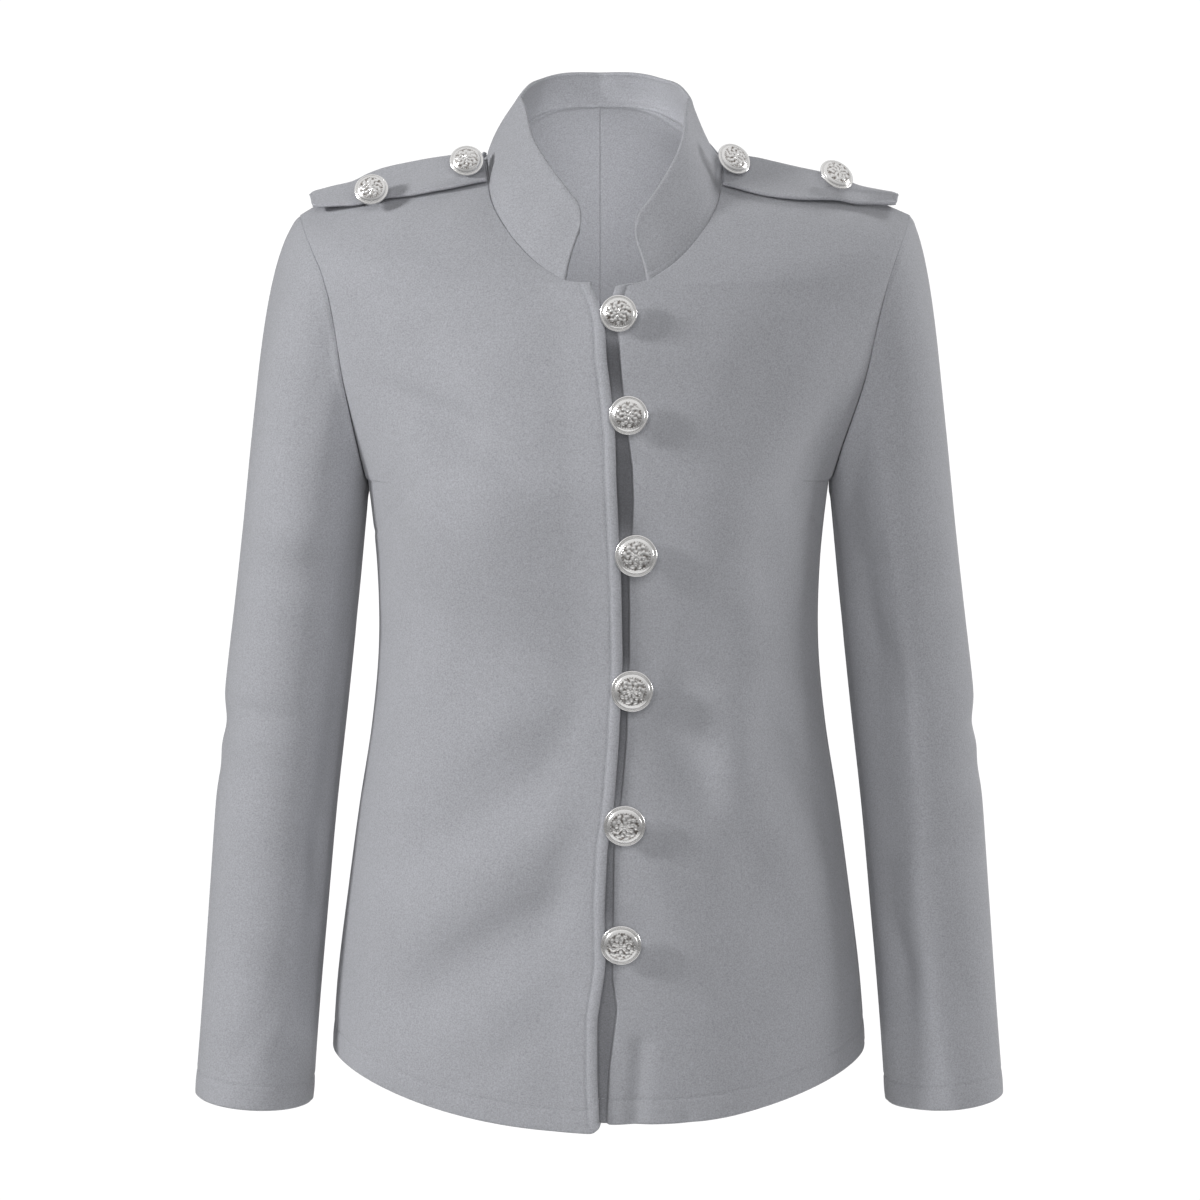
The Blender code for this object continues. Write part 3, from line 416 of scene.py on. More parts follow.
EDGE_ROWS = (
    EdgeRow(-592, 0.6),
    EdgeRow(-554, -1.2),
    EdgeRow(-515, -1.2),
    EdgeRow(-491, 2.5),
    EdgeRow(-480, 4.0),
    EdgeRow(-445, 3.3),
    EdgeRow(-407, 5.2),
    EdgeRow(-381, 9.1),
    EdgeRow(-345, 11.9),
    EdgeRow(-293, 14.5),
    EdgeRow(-238, 13.4),
    EdgeRow(-202, 11.6),
    EdgeRow(-177, 10.4),
    EdgeRow(-150, 9.8),
    EdgeRow(-125, 7.3),
    EdgeRow(-104, 4.5, left_x=-9),
    EdgeRow(-85, 3.7, left_x=-4),
    EdgeRow(-75, 2.2, left_x=5),
    EdgeRow(-68, -1.5, left_x=6),
    EdgeRow(-63, -4.0, left_x=8),
    EdgeRow(-58, -9.0, left_x=11),
)


class Fold(NamedTuple):
    """One of the garment's largest folds, straight, with a round bell at each end."""

    x_top: float
    height_top: float
    x_bottom: float
    height_bottom: float
    width: float
    depth: float


FOLDS = {
    (Face.FRONT, Side.RIGHT): (
        Fold(-6, -340, -134, -430, width=24, depth=4.5),
        Fold(-10, -440, -116, -512, width=26, depth=4.5),
        Fold(-20, -398, -130, -474, width=22, depth=-2.5),
        Fold(-110, -95, -85, -150, width=22, depth=3.0),
    ),
    (Face.FRONT, Side.LEFT): (
        Fold(95, -270, 78, -410, width=26, depth=-3.5),
        Fold(45, -330, 120, -480, width=26, depth=4.5),
        Fold(26, -535, 22, -590, width=9, depth=2.0),
        Fold(108, -95, 88, -150, width=22, depth=2.5),
    ),
    (Face.BACK, Side.RIGHT): (
        Fold(-55, -255, -130, -330, width=20, depth=3.5),
        Fold(-40, -420, -70, -580, width=24, depth=-4.5),
    ),
    (Face.BACK, Side.LEFT): (
        Fold(50, -262, 128, -322, width=18, depth=3.5),
        Fold(62, -430, 92, -580, width=26, depth=-4.5),
    ),
}


def fold_depth(x: Array, height: Array, folds: Sequence[Fold]) -> Array:
    """How far the largest folds push the cloth in: a bell across each line and past its ends.

    Args:
        x: the points' x.
        height: the points' height.
        folds: the folds of this panel.

    Returns:
        A depth for each point.
    """
    total = np.zeros_like(x)
    for fold in folds:
        way = np.array([fold.x_bottom - fold.x_top, fold.height_bottom - fold.height_top], float)
        length = np.hypot(*way)
        way /= length
        from_top = np.stack([x - fold.x_top, height - fold.height_top])
        distance = way[0] * from_top[0] + way[1] * from_top[1]
        across = way[0] * from_top[1] - way[1] * from_top[0]
        past_end = np.maximum(np.maximum(-distance, distance - length), 0)
        total += fold.depth * np.exp(-(across**2 + past_end**2) / (2 * (fold.width / 2) ** 2))
    return total


@dataclass(frozen=True)
class BodyForm:
    """The form of the jacket's body, filled out, as sizes and a function of row and way."""

    lap_lift: float = 3.2
    lap_lift_width: float = 34.0
    lap_press: float = 1.8
    lap_press_width: float = 9.0
    lap_press_beyond: float = 9.0
    lap_press_top: float = -75.0
    lap_press_fade: float = 25.0
    middle_ease: float = 0.12
    nape_power: float = 3.2
    neck_rise: float = 6.5
    neck_rise_x: float = 38.0
    neck_rise_width: float = 26.0
    neck_rise_rows: float = 1.1
    neck_drop: float = 0.05
    neckline_samples: int = 81
    least_depth: float = 1e-6
    most_armhole_share: float = 0.9
    side_calm: float = 4.0
    side_calm_width: float = 40.0
    fold_end_x: float = -8.0
    fold_fade: float = 30.0
    top_corner_rise: float = 3.5
    top_corner_width: float = 40.0
    left_hem_rise: float = 5.0
    left_hem_fade: float = 90.0
    hem_corner: float = 8.0
    hem_corner_rows: float = 0.125
    edge_spread: float = 5.0
    edge_samples: int = 7
    bust_x: float = 84.0
    bust_height: float = -204.0
    bust_fullness: float = 7.0
    bust_width: float = 46.0
    bust_tallness: float = 52.0

    def edge_x(self, heights: Array, side: Side) -> Array:
        """X of a front edge: the mean of the table's line over a few heights, so without corners.

        Args:
            heights: where to read it.
            side: whose edge it is.

        Returns:
            An x for each height.
        """
        table = np.array(EDGE_ROWS)
        line_x = table[:, 1 if side is Side.RIGHT else 2]
        shifts = np.linspace(-self.edge_spread, self.edge_spread, self.edge_samples)
        near = [np.interp(heights + shift, table[:, 0], line_x) for shift in shifts]
        return np.mean(near, axis=0)

    def lap_offset(self, x: Array, height: Array, side: Side) -> Array:
        """How far out the cloth lies at the closure.

        The right front rises smoothly towards its edge, and the left one is pressed in under it.

        Args:
            x: the points' x.
            height: the points' height.
            side: whose front it is.

        Returns:
            A distance for each point, below 0 for cloth that lies deeper.
        """
        lap_edge = self.edge_x(height, Side.RIGHT)
        if side is Side.RIGHT:
            return self.lap_lift * smooth_step(1 + (x - lap_edge) / self.lap_lift_width)
        pressed = smooth_step((lap_edge + self.lap_press_beyond - x) / self.lap_press_width)
        below_collar = smooth_step((self.lap_press_top - height) / self.lap_press_fade)
        return -self.lap_press * pressed * below_collar

    def eased_power(self, way: Array, power: Array) -> Array:
        """The way to a power, from 0 to 1, but level at 0: the power of a hyperbola.

        Args:
            way: ways from 0 to 1.
            power: the power.

        Returns:
            A share from 0 to 1 for each way.
        """
        ease = self.middle_ease
        least, most = ease**power, (1 + ease**2) ** (power / 2)
        return ((way**2 + ease**2) ** (power / 2) - least) / (most - least)

    def back_heights(
        self, side: Side, places: Array, from_middle: Array, half_width: Array, row: Array
    ) -> Array:
        """Heights of the back.

        Up to the collar row a row falls from the middle to the side as a power of the way,
        and rises a little beside the nape. From there it passes evenly, at each distance from
        the middle, to the neckline or the shoulder seam.

        Args:
            side: the wearer's side.
            places: row places in the tables.
            from_middle: distances from the middle of the back.
            half_width: each row's half width.
            row: height at the inner end, at the side and the power of the fall, for each row.

        Returns:
            A height for each point.
        """
        collar_row = COLLAR_ROW[Face.BACK]
        top, seam = PANEL_ROWS[Face.BACK][collar_row], PANEL_ROWS[Face.BACK][SHOULDER_ROW]
        top_side, seam_side = SIDE_ROWS[collar_row], SIDE_ROWS[SHOULDER_ROW]
        height_in, side_height, bend = row
        below = places[:, None] - collar_row
        falling = self.eased_power(from_middle / half_width, bend)
        plain = height_in + (side_height - height_in) * falling
        falling = self.eased_power(from_middle / top_side.half_width, top.bend)
        lower = top.height + (top_side.height - top.height) * falling

        fallen = np.clip(from_middle / seam.neck_x, 0, 1) ** self.nape_power
        neckline = seam.height + (top.height - seam.height) * (1 - fallen)
        way = np.clip((from_middle - seam.neck_x) / (seam_side.half_width - seam.neck_x), 0, 1)
        shoulder = seam.height + (seam_side.height - seam.height) * way ** SHOULDER_BEND[side]
        upper = np.where(from_middle < seam.neck_x, neckline, shoulder)
        rise = self.neck_rise * bell(from_middle - self.neck_rise_x, self.neck_rise_width)
        rise = np.clip(upper - self.neck_drop * from_middle - lower, 0, rise)
        rise = rise * bell(np.minimum(below, 0), self.neck_rise_rows)
        lower = lower + rise
        fine = np.linspace(collar_row, SHOULDER_ROW, self.neckline_samples)
        *_, neck_x = rows_at(PANEL_ROWS[Face.BACK], fine).T
        neck_x = np.maximum.accumulate(neck_x)
        ends_at = np.interp(from_middle, neck_x, fine) - collar_row
        share = np.clip(below / np.maximum(ends_at, self.least_depth), 0, 1)
        return np.where(below > 0, lower + (upper - lower) * share, plain + rise)

    def place(
        self, face: Face, side: Side, places: Array, across: Array
    ) -> tuple[Array, Array, Array]:
        """The plain form: a superellipse arc for each row, cut off at the armhole.

        y = middle + depth * (1 - (x / width)^n)^(1/n), and the height runs from the inner
        end's to the side's as a power of the way across.

        Args:
            face: front or back.
            side: the wearer's side.
            places: row places in the tables.
            across: ways from the inner end, 0, to the outer, 1, for each row and column.

        Returns:
            x, y and height, each rows x columns.
        """
        side_rows = rows_at(SIDE_ROWS, places)
        rows = rows_at(PANEL_ROWS[face], places)
        side_height, half_width, middle_x, middle_y = side_rows.T[:, :, None]
        height_in, depth, squareness, bend, armhole, neck_x = rows.T[:, :, None]
        sign, collar_row = side.value, COLLAR_ROW[face]
        to_shoulder = np.clip(places - SHOULDER_ROW + 1, 0, 1)[:, None]
        bend = bend + (SHOULDER_BEND[side] - bend) * to_shoulder
        armhole = np.where((places <= UNDERARM_ROW)[:, None], 0, np.maximum(armhole, 0))
        depth = np.maximum(depth, self.least_depth)
        edge_depth = np.minimum(armhole / depth, self.most_armhole_share)
        end = (1 - edge_depth**squareness) ** (1 / squareness)
        width = half_width / end
        on_neck = (places > collar_row)[:, None]
        if face is Face.FRONT:
            own_edge = sign * self.edge_x(height_in, side) - sign * middle_x
            to_neck = np.clip(places - (collar_row - 1), 0, 1)[:, None]
            inner = np.where(on_neck, neck_x, own_edge * (1 - to_neck) + neck_x * to_neck)
        else:
            inner = np.maximum(np.where(on_neck, neck_x, 0), 0)
            middle_x = middle_x * smooth_step((places[:, None] - collar_row) / 2)
        start = inner / width
        share = start + (end - start) * across
        curve = (1 - np.clip(np.abs(share), 0, 1) ** squareness) ** (1 / squareness)
        x = sign * share * width + middle_x
        y = middle_y + face.value * depth * curve
        if face is Face.FRONT:
            return x, y, height_in + (side_height - height_in) * across**bend
        row = (height_in, side_height, bend)
        return x, y, self.back_heights(side, places, share * width, half_width, row)

    def points(self, face: Face, side: Side, places: Array, across: Array) -> Array:
        """The form with the bust, the largest folds, the lap and the hem's corner added.

        Args:
            face: front or back.
            side: the wearer's side.
            places: row places in the tables.
            across: ways from the inner end, 0, to the outer, 1, for each row and column.

        Returns:
            rows x columns x 3 points in millimetres.
        """
        x, y, height = self.place(face, side, places, across)
        off_seam = fade_in(np.abs(y), self.side_calm, self.side_calm_width)
        below_neck = smooth_step((SHOULDER_ROW - 2 - places) / 2)[:, None]
        folds = fold_depth(x, height, FOLDS[face, side])
        if face is Face.BACK:
            return np.stack([x, y - folds * off_seam * below_neck, height], axis=-1)
        bust = self.bust_fullness * (
            bell(np.abs(x) - self.bust_x, self.bust_width)
            * bell(height - self.bust_height, self.bust_tallness)
        )
        if side is Side.RIGHT:
            folds = folds * smooth_step((self.fold_end_x - x) / self.fold_fade)
        y = y - (bust - folds) * off_seam * below_neck
        y = y - self.lap_offset(x, height, side) * below_neck
        hem_share = np.clip(1 - places / 2, 0, 1)[:, None]
        if side is Side.LEFT:
            from_edge = smooth_step(x / self.left_hem_fade)
            height = height + self.left_hem_rise * hem_share * (1 - from_edge)
        else:
            at_corner = np.clip(1 - np.abs(places - COLLAR_ROW[face] + 1), 0, 1)[:, None]
            to_edge = smooth_step(1 + x / self.top_corner_width)
            height = height + self.top_corner_rise * at_corner * to_edge
            corner = self.hem_corner
            from_edge = np.clip(np.abs(x - self.edge_x(height, side)), 0, corner)
            rounding = corner - np.sqrt(corner**2 - (corner - from_edge) ** 2)
            at_hem = np.clip(1 - places / self.hem_corner_rows, 0, 1)[:, None]
            height = height + rounding * at_hem
        return np.stack([x, y, height], axis=-1)


FORM = BodyForm()


# Sheets of cloth ---------------------------------


def wall_mesh(name: str, outer: Array, inner: Array, around: bool) -> Mesh:
    """A closed wall between two grids that share their border points.

    Args:
        name: the mesh's name.
        outer: rows x columns x 3 points in millimetres.
        inner: the same for the inside; its border points are the outer grid's.
        around: whether the last column meets the first.

    Returns:
        The mesh, facing outwards, smooth, with a UV map in metres of cloth.
    """
    rows, columns = outer.shape[:2]
    outer_numbers = np.arange(rows * columns).reshape(rows, columns)
    inside = np.ones((rows, columns), bool)
    inside[[0, -1]] = False
    if not around:
        inside[:, [0, -1]] = False
    inner_numbers = outer_numbers.copy()
    inner_numbers[inside] = rows * columns + np.arange(inside.sum())
    points = np.concatenate([outer.reshape(-1, 3), inner[inside]]) * MM

    along = lengths_along(outer, 0)
    across = lengths_along(outer, 1)
    flat = np.stack([across, along], axis=-1) * MM
    flat_points = np.concatenate([flat.reshape(-1, 2), flat[inside]])

    quads = np.concatenate([cells(outer_numbers, around), cells(inner_numbers, around)[:, ::-1]])
    corner, second, _, last = (points[quads[:, place]] for place in range(4))
    volume = (corner * np.cross(second - corner, last - corner)).sum()
    if volume < 0:
        quads = quads[:, ::-1]

    mesh = bpy.data.meshes.new(name)
    mesh.from_pydata(points.tolist(), [], quads.tolist())
    uv = mesh.uv_layers.new(name="cloth")
    uv.data.foreach_set("uv", flat_points[quads.reshape(-1)].reshape(-1).astype(np.float32))
    mesh.shade_smooth()
    return mesh


@dataclass
class Sheet:
    """A closed sheet of cloth on a grid of outer points, rounded off at its borders.

    Attributes:
        name: the piece's name.
        node: the solid that it replaces.
        grid: the form's points, before creases and sewing, in millimetres.
        centre: a point or line of points that the sheet faces away from.
        around: whether the sheet is a tube.
        thickness: the cloth's thickness.
        rounding: how far in from a free border its roundness reaches.
        sewn: which of the first row, last row, first column and last column are sewn on.
        sewn_rounding: the same reach at a sewn border.
        shade: painted shade: how much each outer point's colour is darkened for another piece's
            shadow, from 0 to 1.
        outer: the outer surface's points, with the creases and sewing so far.
        normals: its unit normals.
    """

    name: str
    node: str
    grid: Array
    centre: Array
    around: bool = False
    thickness: float = 2.0
    rounding: float = 1.1
    sewn: tuple[bool, bool, bool, bool] = (False, False, False, False)
    sewn_rounding: float = 0.5
    shade: Array | None = None
    outer: Array = field(init=False)
    normals: Array = field(init=False)

    def __post_init__(self) -> None:
        """Starts from the form."""
        self.outer = self.grid
        self.normals = self.facing()

    def facing(self) -> Array:
        """The outer surface's unit normals, which point away from the sheet's centre.

        Returns:
            A unit vector for each point.
        """
        normals = grid_normals(self.outer, self.around)
        if (normals * (self.outer - self.centre)).sum(axis=-1).mean() < 0:
            normals = -normals
        return normals

    def push(self, out: Array) -> None:
        """Moves the outer surface out along its normals by these distances."""
        self.outer = self.outer + self.normals * out[..., None]
        self.normals = self.facing()

    def distances(self) -> tuple[Array, Array, Array, Array]:
        """How far each point lies from the first and last rows and columns."""
        down, over = lengths_along(self.grid, 0), lengths_along(self.grid, 1)
        return down, down[-1:] - down, over, over[:, -1:] - over

    def line_at(self, distance: Array, level: float, axis: int) -> tuple[Array, Array]:
        """The line of the surface where a distance reaches a level.

        Args:
            distance: one value for each point, rising along the axis.
            level: the value on the line.
            axis: 0 for a line across the rows, 1 for a line across the columns.

        Returns:
            The line's points and the surface's normals there.
        """
        values = distance if axis == 0 else distance.T
        points = self.outer if axis == 0 else self.outer.transpose(1, 0, 2)
        normals = self.normals if axis == 0 else self.normals.transpose(1, 0, 2)
        above = np.clip(np.argmax(values > level, axis=0), 1, None)
        lane = np.arange(values.shape[1])
        low, high = values[above - 1, lane], values[above, lane]
        share = ((level - low) / np.maximum(high - low, 1e-6))[:, None]
        point = points[above - 1, lane] * (1 - share) + points[above, lane] * share
        return point, unit(normals[above - 1, lane] * (1 - share) + normals[above, lane] * share)

    def build(self, finish: Material) -> Piece:
        """Makes the piece.

        Both surfaces lie half a thickness off the middle one and close in on it at a border,
        as a quarter circle of the way from the border.

        Args:
            finish: its material.

        Returns:
            The new object, on the jacket's body and in place of its solid.
        """
        reach = np.ones_like(self.outer[..., 0])
        borders = 2 if self.around else 4
        for distance, sewn in list(zip(self.distances(), self.sewn))[:borders]:
            rounding = self.sewn_rounding if sewn else self.rounding
            reach = np.minimum(reach, distance / rounding)
        fullness = (np.sqrt(1 - (1 - reach) ** 2) * self.thickness / 2)[..., None]
        middle = self.outer - self.normals * self.thickness / 2
        outer, inner = middle + self.normals * fullness, middle - self.normals * fullness
        mesh = wall_mesh(self.name, outer, inner, self.around)
        # the painted shade, on the outer points only; the inner ones stay at 0
        shade = np.zeros(len(mesh.vertices), np.float32)
        if self.shade is not None:
            shade[: self.shade.size] = self.shade.reshape(-1)
        mesh.attributes.new("shade", "FLOAT", "POINT").data.foreach_set("value", shade)
        return add_piece(self.name, mesh, finish, CLOTH_SLOT, self.node)


def add_piece(
    name: str,
    mesh: Mesh,
    finish: Material,
    slot: str,
    *nodes: str,
) -> Piece:
    """Puts a piece on the jacket's body.

    Args:
        name: the piece's name.
        mesh: its mesh, in metres.
        finish: its material.
        slot: the name of the record's finish slot, which is not used.
        nodes: the solids that it replaces.

    Returns:
        The new object.
    """
    mesh.materials.append(finish)
    piece = bpy.data.objects.new(name, mesh)
    bpy.context.scene.collection.objects.link(piece)
    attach(piece, BODY)
    if nodes:
        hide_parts(*nodes)
    LOG.info("%s: %d faces", name, len(mesh.polygons))
    return piece


# Body panels -------------------------------------


PANEL_CREASES = {
    (Face.FRONT, Side.RIGHT): (
        Crease(-142, -112, -70, -146, width=12, depth=4.4, bow=-5, sharp_side=0.6),
        Crease(-92, -136, -34, -180, width=12, depth=2.8, bow=-4),
        Crease(-112, -140, -104, -256, width=13, depth=-2.4),
        Crease(-2, -322, -152, -430, width=12, depth=2.0, bow=-10, sharp_side=1.4),
        Crease(-52, -268, -96, -340, width=16, depth=0.9, bow=4),
        Crease(0, -384, -142, -470, width=12, depth=-1.4, bow=-8),
        Crease(0, -428, -128, -508, width=11, depth=1.8, bow=-6, sharp_side=1.3),
        Crease(-30, -512, -96, -566, width=13, depth=1.6, bow=3),
        Crease(-88, -255, -80, -300, width=9, depth=0.9),
        Crease(-128, -30, -60, -52, width=14, depth=1.2, bow=-3),
    ),
    (Face.FRONT, Side.LEFT): (
        Crease(156, -118, 108, -200, width=14, depth=4.0, bow=7, sharp_side=0.6),
        Crease(108, -184, 112, -268, width=13, depth=3.2, bow=-4),
        Crease(88, -296, 152, -446, width=15, depth=4.6, bow=10, sharp_side=0.65),
        Crease(100, -262, 96, -350, width=14, depth=-1.5, bow=4),
        Crease(26, -405, 66, -480, width=14, depth=-1.8, bow=-4),
        Crease(34, -148, 46, -142, width=5, depth=0.9),
        Crease(40, -296, 66, -318, width=10, depth=1.4),
        Crease(52, -572, 60, -590, width=5, depth=1.0),
        Crease(70, -400, 140, -468, width=16, depth=2.2, bow=6),
    ),
    (Face.BACK, Side.RIGHT): (
        Crease(-150, -110, -86, -150, width=12, depth=2.0, bow=-5, sharp_side=0.6),
        Crease(-20, -270, -132, -318, width=15, depth=2.0, bow=-8),
        Crease(-30, -230, -128, -262, width=12, depth=1.4, bow=-5),
        Crease(-66, -380, -92, -520, width=17, depth=1.8, bow=6),
        Crease(-20, -40, -96, -22, width=14, depth=1.2, bow=4),
    ),
    (Face.BACK, Side.LEFT): (
        Crease(152, -116, 92, -160, width=12, depth=2.0, bow=5, sharp_side=0.6),
        Crease(26, -262, 130, -300, width=14, depth=2.0, bow=8),
        Crease(18, -306, 116, -342, width=12, depth=1.4, bow=6),
        Crease(84, -392, 110, -540, width=18, depth=1.7, bow=-6),
        Crease(30, -46, 104, -26, width=13, depth=1.1, bow=-4),
    ),
}


class Dart(NamedTuple):
    """A bust dart's stitched line from the side seam to its point."""

    x_point: float
    height_point: float
    x_seam: float
    height_seam: float


DARTS = {
    Side.RIGHT: Dart(x_point=-116, height_point=-186, x_seam=-146, height_seam=-222),
    Side.LEFT: Dart(x_point=124, height_point=-190, x_seam=145, height_seam=-224),
}


class GutterRow(NamedTuple):
    """Where the left front's hollow beside the lap ends, at one height."""

    height: float
    wall_x: float


GUTTER_ROWS = (
    GutterRow(-592, 4.0),
    GutterRow(-572, 4.3),
    GutterRow(-547, 5.5),
    GutterRow(-522, 9.2),
    GutterRow(-509, 10.6),
    GutterRow(-490, 7.4),
    GutterRow(-446, 8.0),
    GutterRow(-409, 8.4),
    GutterRow(-377, 12.9),
    GutterRow(-365, 14.1),
    GutterRow(-340, 16.2),
    GutterRow(-289, 17.8),
    GutterRow(-258, 17.8),
    GutterRow(-239, 17.4),
    GutterRow(-204, 19.8),
    GutterRow(-189, 20.4),
    GutterRow(-170, 19.8),
    GutterRow(-151, 16.8),
    GutterRow(-116, 13.0),
    GutterRow(-84, 10.4),
)
BUTTON_HEIGHTS = (-75.6, -136.9, -223.2, -308.8, -392.6, -467.0)


@dataclass
class Panel:
    """One body panel: its sheet, its creases, its seams and its stitched edges."""

    face: Face
    side: Side

    # The grid, which is laid out on a plain width and then stretched to the form.
    width: float = 215.0
    coarse: float = 2.7  # the widest spacing
    fine_rows: float = 0.7  # the spacing of rows at the hem, its stitches and the top
    least_rise: float = 32.0  # between the table's last rows, which are almost level
    sloping_rows: int = 4
    guide_columns: int = 240
    kept_reach: float = 60.0  # columns keep their distance from the front edge near it
    kept_fade: float = 40.0
    narrow: float = 90.0  # a row shorter than this is shared out evenly
    even_beyond: float = 150.0  # and so is every row beyond this column
    lap_columns: tuple[int, ...] = tuple(range(12, 34, 3))  # close together for the hollow
    centre: Place = (0.0, 0.0, -260.0)

    # Creases start this far from a border and are full after so much more.
    side_calm: tuple[float, float] = (2.0, 25.0)
    top_calm: tuple[float, float] = (3.0, 25.0)
    inner_calm: tuple[float, float] = (6.0, 26.0)

    # The sewing, by distance from the border.
    seam: Roll = Roll(-0.12, 0.0, 2.6)
    middle_groove: float = 0.15  # how wide each back's share of the groove between them is
    sewn_rounding: float = 0.195
    hem_stitch: float = 16.0
    hem: tuple[Roll, ...] = (Roll(-0.4, 16.0, 1.0), Roll(0.25, 8.0, 6.0))
    hem_pucker: Pucker = Pucker(0.15, middle=8.0, width=8.0, pitch=7.0, seed=2.0)
    edge_stitch: float = 7.4
    edge_groove: Roll = Roll(-0.4, 7.4, 1.0)
    edge_pucker: Pucker = Pucker(0.12, middle=3.0, width=5.0, pitch=6.5, seed=1.0)
    flange_puff: float = 0.9
    flange_top: float = -57.0  # the height where the front edge ends and the neckline starts
    flange_fade: float = 5.0

    # The left front's hollow beside the lap, and the painted shade that darkens its colour there
    # for the lap's shadow.
    gutter_depth: float = 3.0
    gutter_wall: float = 1.8
    gutter_button: float = 13.0  # how near a button the left front rises to it
    gutter_top: float = -80.0
    gutter_fade: float = 20.0
    lap_shade: float = 0.34
    upper_shade: float = 0.26  # more painted shade, added above the fourth button, where the lap stands off more
    upper_from: tuple[float, float] = (-370.0, 60.0)

    dart_depth: float = 0.55
    dart_width: float = 1.8
    dart_fade: float = 8.0
    dimple_width: float = 9.0

    @property
    def name(self) -> str:
        """The panel's name, which is also its solid's."""
        return f"{self.face.name.lower()}_{self.side.name.lower()}"

    def columns(self) -> Array:
        """Where the columns lie on the plain width, close together at seams and at the lap.

        Returns:
            Distances from the inner end.
        """
        stops = (0, self.width)
        if self.face is Face.FRONT:
            stops += (self.edge_stitch,)
            if self.side is Side.LEFT:
                stops += self.lap_columns
        columns = spaced(self.width, self.coarse, stops)
        if self.face is Face.BACK:
            columns[1] = self.middle_groove
        return columns

    def grid(self) -> Array:
        """Fine points of the form: rows by height, columns by distance from the inner end.

        A column's wanted distance along its row is a blend of its plain distance and that
        stretched to the row's length; the form is then read at the ways that give it.

        Returns:
            rows x columns x 3 points in millimetres.
        """
        heights = np.array(PANEL_ROWS[self.face])[:, 0]
        rises = np.abs(np.diff(heights))
        rises[-self.sloping_rows :] = np.maximum(rises[-self.sloping_rows :], self.least_rise)
        total = rises.sum()
        way_up = spaced(total, self.coarse, (0, self.hem_stitch, total), self.fine_rows)
        places = np.interp(way_up, np.cumsum([0, *rises]), np.arange(len(heights)))
        even = np.linspace(0, 1, self.guide_columns)
        guide_ways = np.broadcast_to(even, (len(places), self.guide_columns))
        along = lengths_along(FORM.points(self.face, self.side, places, guide_ways), 1)
        length = along[:, -1:]

        columns = self.columns()
        evenly = length * (columns / self.width)
        kept = np.zeros_like(columns)
        if self.face is Face.FRONT:
            kept = smooth_step((self.kept_reach - columns) / self.kept_fade)
        wanted = columns * (kept + (1 - kept) * length / self.width)
        wanted = np.where(length < self.narrow, evenly, np.minimum(wanted, length))
        wanted = np.where(columns > self.even_beyond, evenly, wanted)
        ways = np.stack([np.interp(place, line, even) for place, line in zip(wanted, along)])
        return FORM.points(self.face, self.side, places, ways)

    def build(self, finish: Material, thread: Material) -> Piece:
        """Makes the panel and its stitches.

        Args:
            finish: the cloth's material.
            thread: the stitches' material.

        Returns:
            The panel.
        """
        sheet = Sheet(
            f"{self.name}_cloth",
            self.name,
            self.grid(),
            np.array(self.centre),
            sewn=(False, True, self.face is Face.BACK, True),
            sewn_rounding=self.sewn_rounding,
        )
        x, height = sheet.grid[..., 0], sheet.grid[..., 2]
        from_hem, from_top, from_inner, from_side = sheet.distances()
        calm = fade_in(from_side, *self.side_calm) * fade_in(from_top, *self.top_calm)
        calm = calm * fade_in(from_inner, *self.inner_calm)
        out = -calm * crease_depth(x, height, PANEL_CREASES[self.face, self.side])
        if self.face is Face.FRONT:
            out = out - self.dart(x, height)
        sheet.push(out)

        out = rolled(from_side, self.seam) + rolled(from_top, self.seam)
        out = out + rolled(from_hem, *self.hem) + puckered(from_inner, from_hem, self.hem_pucker)
        if self.face is Face.BACK:
            out = out + rolled(from_inner, self.seam)
        else:
            out = out + self.flange(from_hem, from_inner, height)
            if self.side is Side.LEFT:
                hollow = self.gutter(x, height)
                out = out - hollow
                # painted shade: the hollow's colour is darkened for the lap's shadow, more above
                # the fourth button
                dim = self.lap_shade + self.upper_shade * fade_in(height, *self.upper_from)
                sheet.shade = dim * hollow / self.gutter_depth
        sheet.push(out)
        piece = sheet.build(finish)
        lines = [sheet.line_at(from_hem, self.hem_stitch, axis=0)]
        if self.face is Face.FRONT:
            points, normals = sheet.line_at(from_inner, self.edge_stitch, axis=1)
            stitched = points[:, 2] < self.flange_top - 1
            lines.append((points[stitched], normals[stitched]))
        stitches(f"{self.name}_stitches", lines, thread)
        return piece

    def flange(self, from_hem: Array, from_edge: Array, height: Array) -> Array:
        """The front edge's soft flange: half a sine wave up to its stitches' groove, puckered.

        Args:
            from_hem: distances from the hem.
            from_edge: distances from the front edge.
            height: the points' height.

        Returns:
            How far out it lifts each point.
        """
        puff = self.flange_puff * np.sin(np.pi * np.clip(from_edge / self.edge_stitch, 0, 1))
        puff = puff + rolled(from_edge, self.edge_groove)
        puff = puff + puckered(from_hem, from_edge, self.edge_pucker)
        return puff * smooth_step((self.flange_top - height) / self.flange_fade)

    def gutter(self, x: Array, height: Array) -> Array:
        """How far the left front lies deeper beside the lap, between the buttons.

        Args:
            x: the points' x.
            height: the points' height.

        Returns:
            A depth for each point: full up to the wall's line, and none near a button.
        """
        table = np.array(GUTTER_ROWS)
        wall_x = np.interp(height, table[:, 0], table[:, 1])
        near = np.max([bell(height - row, self.gutter_button) for row in BUTTON_HEIGHTS], axis=0)
        shaped = smooth_step((wall_x - x) / self.gutter_wall + 0.5)
        below_top = smooth_step((self.gutter_top - height) / self.gutter_fade)
        return self.gutter_depth * shaped * (1 - near) * below_top

